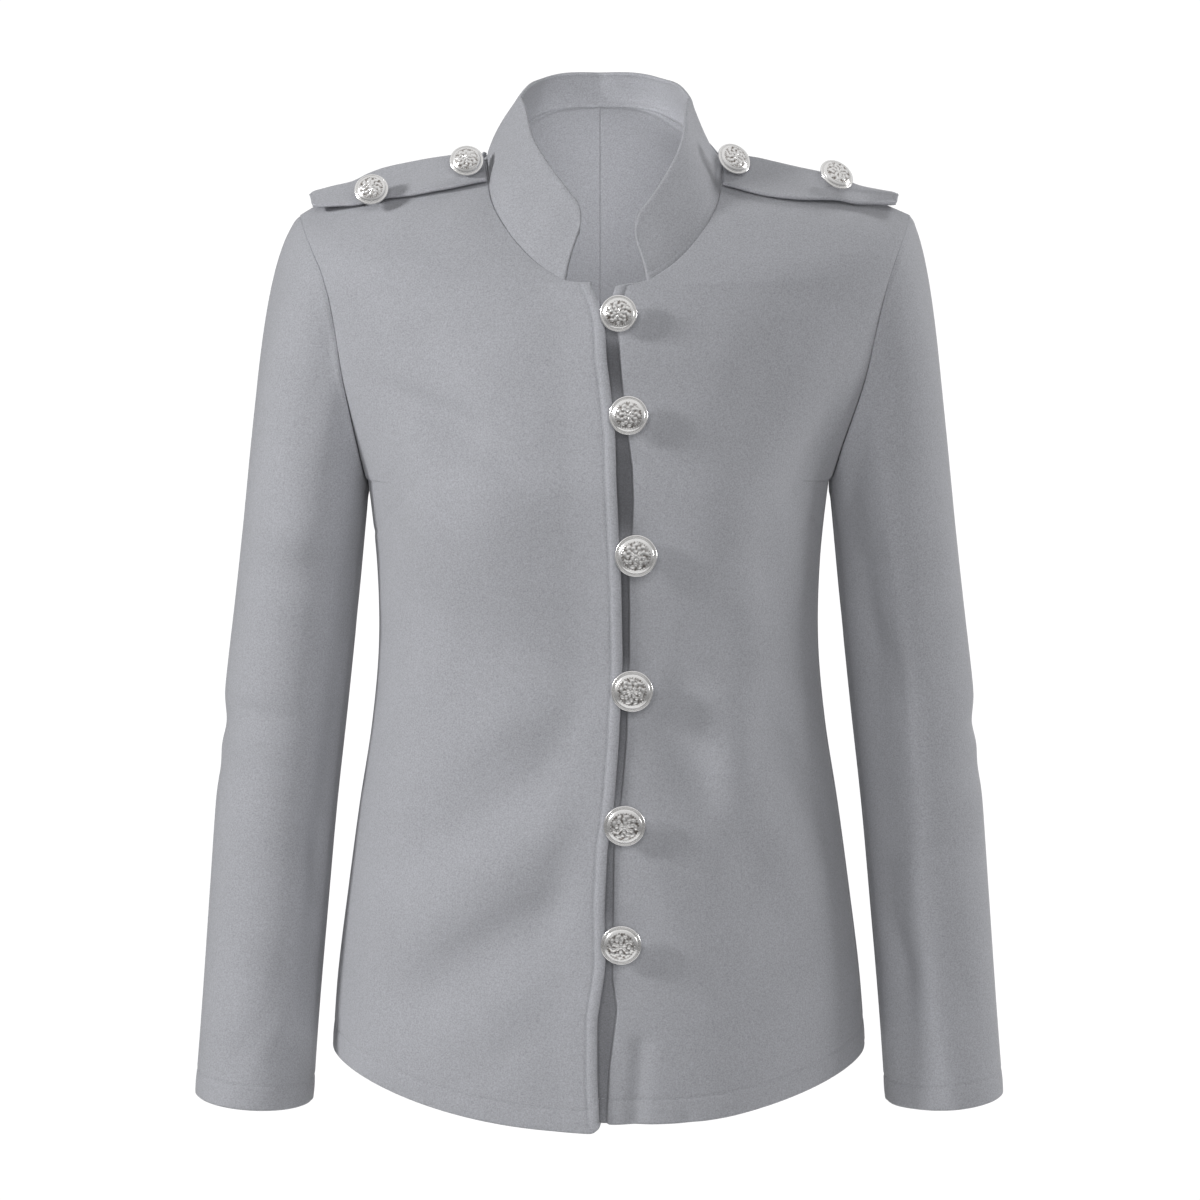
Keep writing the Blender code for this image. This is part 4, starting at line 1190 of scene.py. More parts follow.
    def dart(self, x: Array, height: Array) -> Array:
        """A narrow trough along the dart's line, which widens into a dimple at its point.

        Args:
            x: the points' x.
            height: the points' height.

        Returns:
            A depth for each point.
        """
        line = DARTS[self.side]
        way = np.array([line.x_seam - line.x_point, line.height_seam - line.height_point])
        length = np.hypot(*way)
        way = way / length
        along = way[0] * (x - line.x_point) + way[1] * (height - line.height_point)
        off = way[0] * (height - line.height_point) - way[1] * (x - line.x_point)
        ends = smooth_step(along / self.dart_fade + 1)
        ends = ends * smooth_step((length - along) / self.dart_fade + 1)
        dimple = bell(np.hypot(along, off), self.dimple_width)
        return self.dart_depth * (bell(off, self.dart_width) * ends + dimple)


# Stitches ----------------------------------------

STITCH_PITCH, STITCH_LENGTH = 3.1, 2.3
STITCH_WIDTH, STITCH_HEIGHT, STITCH_LIFT = 0.55, 0.36, 0.04
STITCH_RINGS, STITCH_SIDES = 5, 6
STITCH_END = 0.02  # how much of its thickness, squared, a stitch has at its end


def stitches(
    name: str, lines: Sequence[tuple[Array, Array]], thread: Material
) -> Piece:
    """Rows of lock stitches, each a small closed grain that lies in its groove.

    A grain's half thickness is the square root of 1 - the cube of the way from its middle,
    and its section is an ellipse of a few sides.

    Args:
        name: the piece's name.
        lines: each row's points and the cloth's normals there, in millimetres.
        thread: the material.

    Returns:
        One piece that holds all the grains.
    """
    middles, ways, outs = [], [], []
    for points, normals in lines:
        along = along_line(points)
        at = np.arange(STITCH_PITCH, along[-1] - STITCH_PITCH, STITCH_PITCH)
        middles.append(read_line(points, along, at))
        ways.append(unit(read_line(points, along, at + STITCH_LENGTH / 2) - middles[-1]))
        outs.append(unit(read_line(normals, along, at)))
    middle, way, out = (np.concatenate(part)[:, None, None, :] for part in (middles, ways, outs))
    side = unit(np.cross(way, out))
    share = np.linspace(-1, 1, STITCH_RINGS)[:, None, None]
    turn = (np.arange(STITCH_SIDES) * 2 * np.pi / STITCH_SIDES)[None, :, None]
    thick = np.sqrt(np.clip(1 - np.abs(share) ** 3, STITCH_END, 1))
    points = (
        middle
        + way * share * STITCH_LENGTH / 2
        + side * np.cos(turn) * thick * STITCH_WIDTH / 2
        + out * (np.sin(turn) * thick * STITCH_HEIGHT / 2 + STITCH_LIFT)
    )
    numbers = np.arange(STITCH_RINGS * STITCH_SIDES).reshape(STITCH_RINGS, STITCH_SIDES)
    shift = np.arange(len(points))[:, None, None] * numbers.size
    faces = (cells(numbers, around=True)[:, ::-1] + shift).reshape(-1, 4).tolist()
    for end in (numbers[0], numbers[-1, ::-1]):
        faces.extend((end[None] + shift[:, 0]).tolist())
    mesh = bpy.data.meshes.new(name)
    mesh.from_pydata((points.reshape(-1, 3) * MM).tolist(), [], faces)
    mesh.shade_smooth()
    return add_piece(name, mesh, thread, CLOTH_SLOT)


# Sleeves -----------------------------------------


class SleeveRow(NamedTuple):
    """One level of a sleeve below the armhole."""

    height: float
    axis_x: float
    axis_y: float
    half_width: float
    half_depth: float


SLEEVE_ROWS = (
    SleeveRow(-215, axis_x=189.3, axis_y=0, half_width=39.0, half_depth=50),
    SleeveRow(-266, axis_x=195.0, axis_y=1, half_width=39.5, half_depth=48),
    SleeveRow(-331, axis_x=202.7, axis_y=2, half_width=40.0, half_depth=45),
    SleeveRow(-397, axis_x=209.5, axis_y=0, half_width=39.2, half_depth=43),
    SleeveRow(-463, axis_x=215.0, axis_y=-5, half_width=38.6, half_depth=41),
    SleeveRow(-530, axis_x=220.4, axis_y=-11, half_width=38.1, half_depth=39.5),
    SleeveRow(-589, axis_x=224.8, axis_y=-18, half_width=38.3, half_depth=38.5),
)


class SleeveFold(NamedTuple):
    """One of a sleeve's largest folds: a soft trough round part of it."""

    height: float
    width: float
    turn: float
    depth: float


SLEEVE_FOLDS = (
    SleeveFold(-240, width=14, turn=0.20, depth=3.0),
    SleeveFold(-345, width=12, turn=0.50, depth=3.0),
    SleeveFold(-372, width=13, turn=0.42, depth=2.0),
    SleeveFold(-500, width=16, turn=0.15, depth=2.0),
)

# The first size is the way round in millimetres: 0 faces the body, 68 the front, 135 outwards.
SLEEVE_CREASES = {
    Side.RIGHT: (
        Crease(20, -200, 27, -590, width=11, depth=2.4, bow=3),
        Crease(28, -296, 92, -268, width=12, depth=1.6, bow=4),
        Crease(30, -345, 128, -332, width=9, depth=2.0, bow=5, sharp_side=0.6),
        Crease(20, -362, 88, -348, width=8, depth=-1.2),
        Crease(14, -470, 46, -392, width=10, depth=1.5, bow=4),
        Crease(44, -500, 100, -574, width=12, depth=1.4, bow=-6),
        Crease(24, -536, 60, -560, width=8, depth=1.2),
        Crease(150, -330, 230, -352, width=11, depth=1.8, bow=-5),
        Crease(205, -250, 262, -286, width=13, depth=1.8, bow=4),
        Crease(190, -470, 235, -545, width=13, depth=1.4, bow=5),
    ),
    Side.LEFT: (
        Crease(26, -130, 38, -430, width=17, depth=5.5, bow=4),
        Crease(34, -380, 44, -620, width=17, depth=5.5, bow=-4),
        Crease(56, -150, 62, -430, width=7, depth=-2.2, bow=5, sharp_side=2.5),
        Crease(58, -400, 74, -610, width=7, depth=-2.2, bow=-5, sharp_side=2.5),
        Crease(34, -248, 66, -330, width=12, depth=1.6, bow=-5),
        Crease(40, -420, 112, -408, width=9, depth=1.9, bow=-4, sharp_side=0.6),
        Crease(30, -438, 78, -428, width=8, depth=-1.2),
        Crease(18, -452, 48, -540, width=10, depth=1.4, bow=4),
        Crease(58, -470, 96, -560, width=13, depth=1.3, bow=5),
        Crease(150, -345, 228, -362, width=11, depth=1.8, bow=-5),
        Crease(200, -246, 262, -290, width=13, depth=1.8, bow=4),
        Crease(185, -480, 240, -548, width=13, depth=1.4, bow=-5),
    ),
}


@dataclass
class Sleeve:
    """A set-in sleeve: a cap that leaves the armhole and a tube down to the cuff."""

    side: Side
    columns: int = 108
    coarse: float = 2.8  # the rows' widest spacing
    fine_rows: float = 0.7
    middle_x: float = -0.5
    tilt: float = 0.07  # how much lower the tube's inner side is, as a share of its width
    girth: float = 270.0
    fold_turns: float = 0.13

    # The cap. Its slopes at the armhole and at the tube are shares of the way between them.
    armhole_rows: int = 181
    armhole_ways: tuple[float, ...] = (0.90, 0.95, 1.0)
    cap_rows: int = 58
    cap_crowd: float = 1.6  # above 1, its rows lie closer together towards the seam
    gap: float = -0.3  # below 0: the cap is caught under the panel's edge
    underarm_gap: float = 1.5
    out_slope: float = 0.06
    down_slope: float = 0.85
    top_ease: float = 0.50  # how much less steeply it leaves the shoulder than the underarm
    tube_out_slope: float = 0.1
    tube_down_slope: float = 0.95

    # The sewing, by distance from the armhole, the cuff or the seam under the arm.
    creases_from: tuple[float, float] = (8.0, 30.0)
    cap_seam: tuple[Roll, ...] = (Roll(-0.12, 0.0, 1.6), Roll(0.4, 4.5, 3.2))
    cap_pucker: Pucker = Pucker(0.22, middle=3.5, width=4.0, pitch=3.4, seed=0.7)
    cuff_stitch: float = 16.0
    cuff: tuple[Roll, ...] = (Roll(0.3, 8.0, 6.0), Roll(-0.4, 16.0, 1.0))
    underarm_seam: Roll = Roll(-0.5, 8.0, 2.6)

    @property
    def fullness(self) -> float:
        """How far the cap's top stands out from the shoulder."""
        return 0.32 if self.side is Side.RIGHT else 0.19

    def armhole(self) -> tuple[Array, Array, Array]:
        """The armhole from the underarm up the front, over and down the back.

        Returns:
            Evenly spaced points, the way across the seam there and the panel's normal.
        """
        places = np.linspace(UNDERARM_ROW, SHOULDER_ROW, self.armhole_rows)
        ways = np.broadcast_to(self.armhole_ways, (len(places), len(self.armhole_ways)))
        parts = []
        for face in (Face.FRONT, Face.BACK):
            grid = FORM.points(face, self.side, places, ways)
            normals = grid_normals(grid)
            if (normals[..., 1] * face.value).mean() < 0:
                normals = -normals
            across = unit(grid[:, -1] - grid[:, -2])
            parts.append(np.concatenate([grid[:, -1], across, normals[:, -1]], axis=1))
        front, back = parts
        underarm, shoulder = (front[:1] + back[:1]) / 2, (front[-1:] + back[-1:]) / 2
        ring = np.concatenate([underarm, front[1:-1], shoulder, back[-2:0:-1], underarm])
        along = along_line(ring[:, :3])
        at = np.linspace(0, along[-1], self.columns + 1)[:-1]
        edge, across, normal = np.split(read_line(ring, along, at), 3, axis=1)
        across[0] = (0, 0, 1)
        return edge, unit(across), unit(normal)

    def level_rings(self, turns: Array) -> Array:
        """The tube below the armhole: an ellipse at each height, its inner side lower.

        Args:
            turns: ways round, as shares of a turn from the body's side.

        Returns:
            rows x columns x 3 points in millimetres.
        """
        heights = -np.array(SLEEVE_ROWS)[:, 0]
        length = heights[-1] - heights[0]
        down = spaced(length, self.coarse, (length, length - self.cuff_stitch), self.fine_rows)
        places = np.interp(down + heights[0], heights, np.arange(len(heights)))
        rows = rows_at(SLEEVE_ROWS, places)
        height, axis_x, axis_y, half_width, half_depth = rows.T[:, :, None]
        angle = turns[None, :] * 2 * np.pi
        x = self.middle_x + self.side.value * (axis_x - half_width * np.cos(angle))
        y = axis_y - half_depth * np.sin(angle)
        z = height - self.tilt * half_width * np.cos(angle)
        return np.stack([x, y, z], axis=-1)

    def grid(self) -> Array:
        """The cap, a cubic curve from each armhole point down to the tube, and the tube.

        Returns:
            rows x columns x 3 points in millimetres, from the armhole to the cuff.
        """
        edge, across, normal = self.armhole()
        turns = np.arange(self.columns) / self.columns
        rings = self.level_rings(turns)
        first, side = rings[0], self.side.value
        share_up = (edge[:, 2] - edge[:, 2].min()) / np.ptp(edge[:, 2])
        reach = np.linalg.norm(first - edge, axis=1)[:, None]
        out = (self.out_slope + self.fullness * share_up)[:, None] * np.array([side, 0, 0])
        down = (self.down_slope - self.top_ease * share_up)[:, None] * np.array([0, 0, -1])
        start_way = (out + down) * reach
        end_way = np.array([side * self.tube_out_slope, 0, -self.tube_down_slope]) * reach
        fold = ((1 - (normal * unit(edge - edge.mean(axis=0))).sum(axis=1)) / 2)[:, None]
        fold = np.clip(fold * (1 - share_up[:, None] * 2), 0, 1)
        seam = edge + self.gap * across + self.underarm_gap * fold * normal
        share = (np.linspace(0, 1, self.cap_rows + 1)[:-1] ** self.cap_crowd)[:, None, None]
        cap = (
            seam * (1 + 2 * share) * (1 - share) ** 2
            + start_way * share * (1 - share) ** 2
            + first * share**2 * (3 - 2 * share)
            + end_way * share**2 * (share - 1)
        )
        outer = np.concatenate([cap, rings])
        inwards = outer.mean(axis=1, keepdims=True) - outer
        inwards[..., 2] = 0
        inwards = unit(inwards)
        for trough in SLEEVE_FOLDS:
            level = bell(outer[..., 2] - trough.height, trough.width)
            faced = bell(turns - trough.turn, self.fold_turns)[None, :]
            outer = outer + inwards * (trough.depth * level * faced)[..., None]
        return outer

    def build(self, finish: Material, thread: Material) -> Piece:
        """Makes the sleeve and its cuff's stitches.

        Args:
            finish: the cloth's material.
            thread: the stitches' material.

        Returns:
            The sleeve.
        """
        grid = self.grid()
        node = f"sleeve_{self.side.name.lower()}"
        centre = grid.mean(axis=1, keepdims=True)
        sewn = (True, False, False, False)
        sheet = Sheet(f"{node}_cloth", node, grid, centre, around=True, sewn=sewn)
        from_cap, from_cuff, _, _ = sheet.distances()
        round_way = np.arange(self.columns) / self.columns * self.girth
        round_way = np.broadcast_to(round_way, from_cap.shape)
        creases = sum(
            crease_depth(round_way + turn * self.girth, grid[..., 2], SLEEVE_CREASES[self.side])
            for turn in (-1, 0, 1)
        )
        sheet.push(-creases * fade_in(from_cap, *self.creases_from))
        from_underarm = np.minimum(round_way, self.girth - round_way)
        out = rolled(from_cap, *self.cap_seam) + puckered(round_way, from_cap, self.cap_pucker)
        out = out + rolled(from_cuff, *self.cuff) + rolled(from_underarm, self.underarm_seam)
        sheet.push(out)
        piece = sheet.build(finish)
        length = from_cap.max()
        line = sheet.line_at(length - from_cuff, length - self.cuff_stitch, axis=0)
        closed = tuple(np.concatenate([part, part[:1]]) for part in line)
        stitches(f"{node}_stitches", [closed], thread)
        return piece


# Collar ------------------------------------------


class CollarRow(NamedTuple):
    """The collar's top edge against its neckline, at one place along the neckline."""

    to_middle: float
    backwards: float
    rise: float
    power: float


COLLAR_ROWS = {
    Side.RIGHT: (
        CollarRow(13.5, 14, rise=42.5, power=1.3),
        CollarRow(21.5, 13, rise=44, power=1.3),
        CollarRow(24.5, 11, rise=42, power=1.4),
        CollarRow(22.0, -3, rise=41, power=1.6),
        CollarRow(9.0, -14, rise=25, power=1.4),
        CollarRow(0.0, -12, rise=21, power=1.2),
    ),
    Side.LEFT: (
        CollarRow(11.5, 13, rise=36, power=1.2),
        CollarRow(17.0, 13, rise=39.5, power=1.2),
        CollarRow(21.0, 11, rise=41, power=1.0),
        CollarRow(22.0, -3, rise=41, power=0.7),
        CollarRow(10.0, -14, rise=25, power=1.3),
        CollarRow(0.0, -12, rise=21, power=1.2),
    ),
}


@dataclass
class Collar:
    """The stand collar: one band sewn to the neckline, which doesn't meet in front."""

    half_columns: int = 130
    neckline_samples: int = 400
    rows: int = 34
    thickness: float = 2.4
    middle: Place = (0.0, -10.0, 0.0)
    corner: float = 14.0  # radius of each upper front corner
    sink: float = 1.2  # how far its lower edge is caught in the seam
    nape_place: float = 0.002  # how near the middle back the neckline is read, in rows
    nape_peak: float = 1.87  # the neckline comes to a small point at the nape
    nape_peak_reach: float = 3.5
    nape_soft: Roll = Roll(1.2, 0.0, 7.0)  # which the collar rounds off

    # The sewing, by distance from the free edges or from the neckline.
    free_edge: Roll = Roll(0.35, 3.5, 3.0)
    seam: Roll = Roll(-0.1, 0.0, 2.0)
    stitch: float = 5.2
    groove: Roll = Roll(-0.35, 5.2, 0.9)
    pucker: Pucker = Pucker(0.12, middle=0.0, width=4.0, pitch=6.0, seed=0.4)
    edge_fade: float = 1.5

    def half(self, side: Side) -> tuple[Array, Array, Array]:
        """One half, from the front end back.

        Args:
            side: the wearer's side.

        Returns:
            Points along the neckline, how far the top leans from each, and its rise and the
            lean's power.
        """
        front_row, back_row = COLLAR_ROW[Face.FRONT], COLLAR_ROW[Face.BACK]
        front_span = SHOULDER_ROW - front_row
        stations = np.linspace(0, len(COLLAR_ROWS[side]) - 1, self.neckline_samples)
        over_front = stations <= front_span
        front_places = front_row + stations[over_front]
        back_places = SHOULDER_ROW - (stations[~over_front] - front_span)
        back_places = np.maximum(back_places, back_row + self.nape_place)
        line = np.concatenate(
            [
                FORM.points(face, side, places, np.zeros((len(places), 1)))[:, 0]
                for face, places in ((Face.FRONT, front_places), (Face.BACK, back_places))
            ]
        )
        along = along_line(line)
        even = np.linspace(0, 1, self.half_columns)
        at = along[-1] * (1 - np.cos(even * np.pi / 2) + even) / 2
        before = COLLAR_ROWS[side][-2]
        past_middle = before._replace(to_middle=-before.to_middle)
        rows = rows_at((*COLLAR_ROWS[side], past_middle), np.interp(at, along, stations))
        to_middle, backwards, rise, power = rows.T
        to_corner = np.clip(self.corner - at, 0, None)
        kept = 1 - (self.corner - np.sqrt(self.corner**2 - to_corner**2)) / rise
        lean = np.stack([-side.value * to_middle, backwards, np.zeros_like(rise)], axis=-1)
        lean = lean * (kept**power)[:, None]
        return read_line(line, along, at), lean, np.stack([rise * kept, power], axis=-1)

    def grid(self) -> Array:
        """The band: each point leans in as a power of the way up while it rises evenly.

        A circle cuts each upper front corner: it takes the same share of the rise and, as a
        power of it, of the lean, so that the band keeps its surface.

        Returns:
            rows x columns x 3 points in millimetres, from the neckline to the top.
        """
        parts = []
        for right_part, left_part in zip(self.half(Side.RIGHT), self.half(Side.LEFT)):
            middle = (right_part[-1:] + left_part[-1:]) / 2
            parts.append(np.concatenate([right_part[:-1], middle, left_part[-2::-1]]))
        base, lean, upright = parts
        from_middle = np.abs(base[:, 0])
        peak = self.nape_peak * np.exp(-from_middle / self.nape_peak_reach)
        base[:, 1] += rolled(from_middle, self.nape_soft) - peak
        share = ((1 - np.cos(np.linspace(0, np.pi, self.rows))) / 2)[:, None, None]
        rise, power = upright[None, :, :1], upright[None, :, 1:]
        height = (share * (rise + self.sink) - self.sink) * np.array([0, 0, 1.0])
        return base[None] + share**power * lean[None] + height

    def build(self, finish: Material, thread: Material) -> Piece:
        """Makes the collar and the row of stitches above its seam.

        Args:
            finish: the cloth's material.
            thread: the stitches' material.

        Returns:
            The collar.
        """
        sheet = Sheet(
            "collar_cloth",
            "collar",
            self.grid(),
            np.array(self.middle),
            thickness=self.thickness,
            sewn=(True, False, False, False),
        )
        from_neck, from_top, from_right, from_left = sheet.distances()
        from_free = np.minimum(np.minimum(from_right, from_left), from_top)
        out = rolled(from_free, self.free_edge) + rolled(from_neck, self.seam, self.groove)
        out = out + puckered(from_right, from_neck, self.pucker)
        sheet.push(out * np.clip(from_free / self.edge_fade, 0, 1))
        piece = sheet.build(finish)
        stitches("collar_stitches", [sheet.line_at(from_neck, self.stitch, axis=0)], thread)
        return piece


# Shoulder straps ---------------------------------


class StrapRow(NamedTuple):
    """One station along a shoulder strap, from its free outer end to the collar."""

    way: float
    front_place: float
    back_place: float
    raised: float


STRAP_ROWS = {
    Side.RIGHT: (
        StrapRow(0.912, 15.50, 15.70, raised=4.6),
        StrapRow(0.81, 15.44, 15.72, raised=3.0),
        StrapRow(0.705, 15.40, 15.75, raised=0.6),
        StrapRow(0.62, 15.37, 15.78, raised=1.6),
        StrapRow(0.53, 15.35, 15.80, raised=2.0),
        StrapRow(0.36, 15.34, 15.84, raised=1.5),
        StrapRow(0.17, 15.37, 15.93, raised=1.7),
        StrapRow(0.008, 15.48, 15.96, raised=1.0),
    ),
    Side.LEFT: (
        StrapRow(0.905, 15.56, 15.70, raised=5.0),
        StrapRow(0.81, 15.52, 15.72, raised=3.8),
        StrapRow(0.705, 15.46, 15.75, raised=2.2),
        StrapRow(0.62, 15.40, 15.78, raised=2.8),
        StrapRow(0.53, 15.32, 15.80, raised=2.6),
        StrapRow(0.36, 15.25, 15.84, raised=1.3),
        StrapRow(0.17, 15.28, 15.93, raised=1.5),
        StrapRow(0.008, 15.40, 15.96, raised=0.9),
    ),
}


@dataclass
class ShoulderStrap:
    """A strap that lies over the shoulder seam, sewn in at the collar and free outside."""

    side: Side
    rows: int = 90
    front_columns: int = 26
    back_columns: int = 12
    thickness: float = 2.5
    rounding: float = 1.3
    gap: float = 0.5
    corner: float = 5.0
    curl: float = 1.6
    curl_reach: float = 10.0
    wave: float = 0.7
    wave_pitch: float = 11.0
    wave_end: float = 40.0  # how far from the collar the front edge's waves fade out
    evening_rounds: int = 6  # how often the shoulder's normals are averaged across the strap
    below: float = 60.0
    stitch: float = 3.0
    edge: tuple[Roll, ...] = (Roll(0.3, 2.0, 1.8), Roll(-0.3, 3.0, 0.8))
    side_stitches: tuple[int, int] = (3, -8)  # the stitched part of a side, in rows
    end_stitches: tuple[int, int] = (6, -6)  # and of the end, in columns

    def grid(self) -> Array:
        """The shoulder's own points under the strap, moved out along their normals.

        A circle cuts the corners of the outer end, as a share of the way from the middle line.

        Returns:
            rows x columns x 3 points in millimetres, from the outer end to the collar.
        """
        table = STRAP_ROWS[self.side]
        stations = (1 - np.cos(np.linspace(0, np.pi, self.rows))) / 2 * (len(table) - 1)
        way, front_place, back_place, raised = rows_at(table, stations).T
        close = 1 - np.cos(np.linspace(0, np.pi / 2, self.front_columns))
        front_places = front_place[:, None] + (SHOULDER_ROW - front_place)[:, None] * close
        far = np.sin(np.linspace(0, np.pi / 2, self.back_columns))[1:]
        back_places = SHOULDER_ROW + (back_place - SHOULDER_ROW)[:, None] * far
        halves = []
        for face, places in ((Face.FRONT, front_places), (Face.BACK, back_places)):
            ways = np.broadcast_to(way[:, None], places.shape)
            points = FORM.points(face, self.side, places.reshape(-1), ways.reshape(-1, 1))
            halves.append(points.reshape(*places.shape, 3))
        surface = np.concatenate(halves, axis=1)
        normals = grid_normals(surface)
        if normals[..., 2].mean() < 0:
            normals = -normals
        for _ in range(self.evening_rounds):
            padded = np.pad(normals, ((0, 0), (1, 1), (0, 0)), mode="edge")
            normals = unit(padded[:, :-2] + padded[:, 1:-1] + padded[:, 2:])
        down = lengths_along(surface, 0)
        over = lengths_along(surface, 1)
        share = over / over[:, -1:]
        free = smooth_step((down.max() - down) / self.wave_end)
        waves = ripple(down / self.wave_pitch, 0.6 + 2 * self.side.value)
        out = self.gap + self.thickness + raised[:, None] + self.wave * free * waves * (1 - share)
        out = out + self.curl * bell(down, self.curl_reach)
        points = surface + out[..., None] * normals
        to_end = np.clip(1 - down / self.corner, 0, 1)
        shrink = self.corner * (1 - np.sqrt(1 - to_end**2)) / (over[:, -1:] / 2)
        middle = points[:, [points.shape[1] // 2]]
        return middle + (points - middle) * (1 - shrink)[..., None]

    def build(self, finish: Material, thread: Material) -> Piece:
        """Makes the strap and the stitches round its three free sides.

        Args:
            finish: the cloth's material.
            thread: the stitches' material.

        Returns:
            The strap.
        """
        grid = self.grid()
        node = f"shoulder_strap_{self.side.name.lower()}"
        sheet = Sheet(
            f"{node}_cloth",
            node,
            grid,
            grid.mean(axis=(0, 1)) - np.array([0, 0, self.below]),
            thickness=self.thickness,
            rounding=self.rounding,
        )
        from_end, _, from_front, from_back = sheet.distances()
        from_free = np.minimum(np.minimum(from_front, from_back), from_end)
        sheet.push(rolled(from_free, *self.edge))
        piece = sheet.build(finish)
        width = from_front[:, -1:]
        lines = [
            (sheet.line_at(from_front, self.stitch, axis=1), self.side_stitches),
            (sheet.line_at(from_front - width, -self.stitch, axis=1), self.side_stitches),
            (sheet.line_at(from_end, self.stitch, axis=0), self.end_stitches),
        ]
        lines = [tuple(part[slice(*kept)] for part in line) for line, kept in lines]
        stitches(f"{node}_stitches", lines, thread)
        return piece


# Buttons -----------------------------------------


class ButtonRow(NamedTuple):
    """How one button sits: its solid, its face's size and facing, and its ornament's turn."""

    node: str
    diameter: float
    nod: float
    ornament_turn: float
    turn: float = 0.0


BUTTONS = (
    ButtonRow("button_front_1", diameter=22.6, nod=9, ornament_turn=12),
    ButtonRow("button_front_2", diameter=23.8, nod=6, ornament_turn=-20),
    ButtonRow("button_front_3", diameter=26.0, nod=3, ornament_turn=35),
    ButtonRow("button_front_4", diameter=26.0, nod=1, ornament_turn=-8),
    ButtonRow("button_front_5", diameter=26.0, nod=-4, ornament_turn=22),
    ButtonRow("button_front_6", diameter=25.5, nod=-6, ornament_turn=-31),
    ButtonRow("button_strap_right_outer", diameter=21.5, nod=30, ornament_turn=5, turn=-3),
    ButtonRow("button_strap_right_inner", diameter=21.5, nod=30, ornament_turn=41),
    ButtonRow("button_strap_left_inner", diameter=22.3, nod=32, ornament_turn=-15, turn=28),
    ButtonRow("button_strap_left_outer", diameter=22.8, nod=38, ornament_turn=28, turn=30),
)


class Ring(NamedTuple):
    """One ring of petals, leaves or beads round a button's middle."""

    count: int
    middle: float  # distance from the button's middle, as a share of its radius
    width: float
    height: float
    power: float = 1.0  # the higher, the more pointed they are
    twist: float = 0.0  # how far they lean round, in radians over a radius
    swing: float = 0.5  # below 0: each stands in line with a gap of the others

    def at(self, share: Array, angle: Array) -> Array:
        """A raised cosine of the angle, to a power, times a bell of the way from the middle."""
        wave = 0.5 + self.swing * np.cos(self.count * angle + self.twist * share)
        return self.height * wave**self.power * bell(share - self.middle, self.width)


ROSETTE = Ring(6, 0.19, 0.085, 1.0, power=0.7)
LEAVES = (
    Ring(9, 0.38, 0.075, 0.9, power=1.3, twist=5),
    Ring(9, 0.53, 0.075, 0.85, power=1.3, twist=-7, swing=-0.5),
    Ring(32, 0.665, 0.028, 0.5),
)

# The outline behind the rim: shares of a radius, and millimetres above the disc or the foot.
UNDERSIDE = ((0.90, 0.25), (0.6, 0.05), (0.3, 0.0))
SHANK_TOP = ((1.5, 0.0), (1.05, -0.6), (1.0, -1.4))
SHANK_FOOT = ((1.0, 1.0), (0.9, 0.2), (0.5, 0.0))


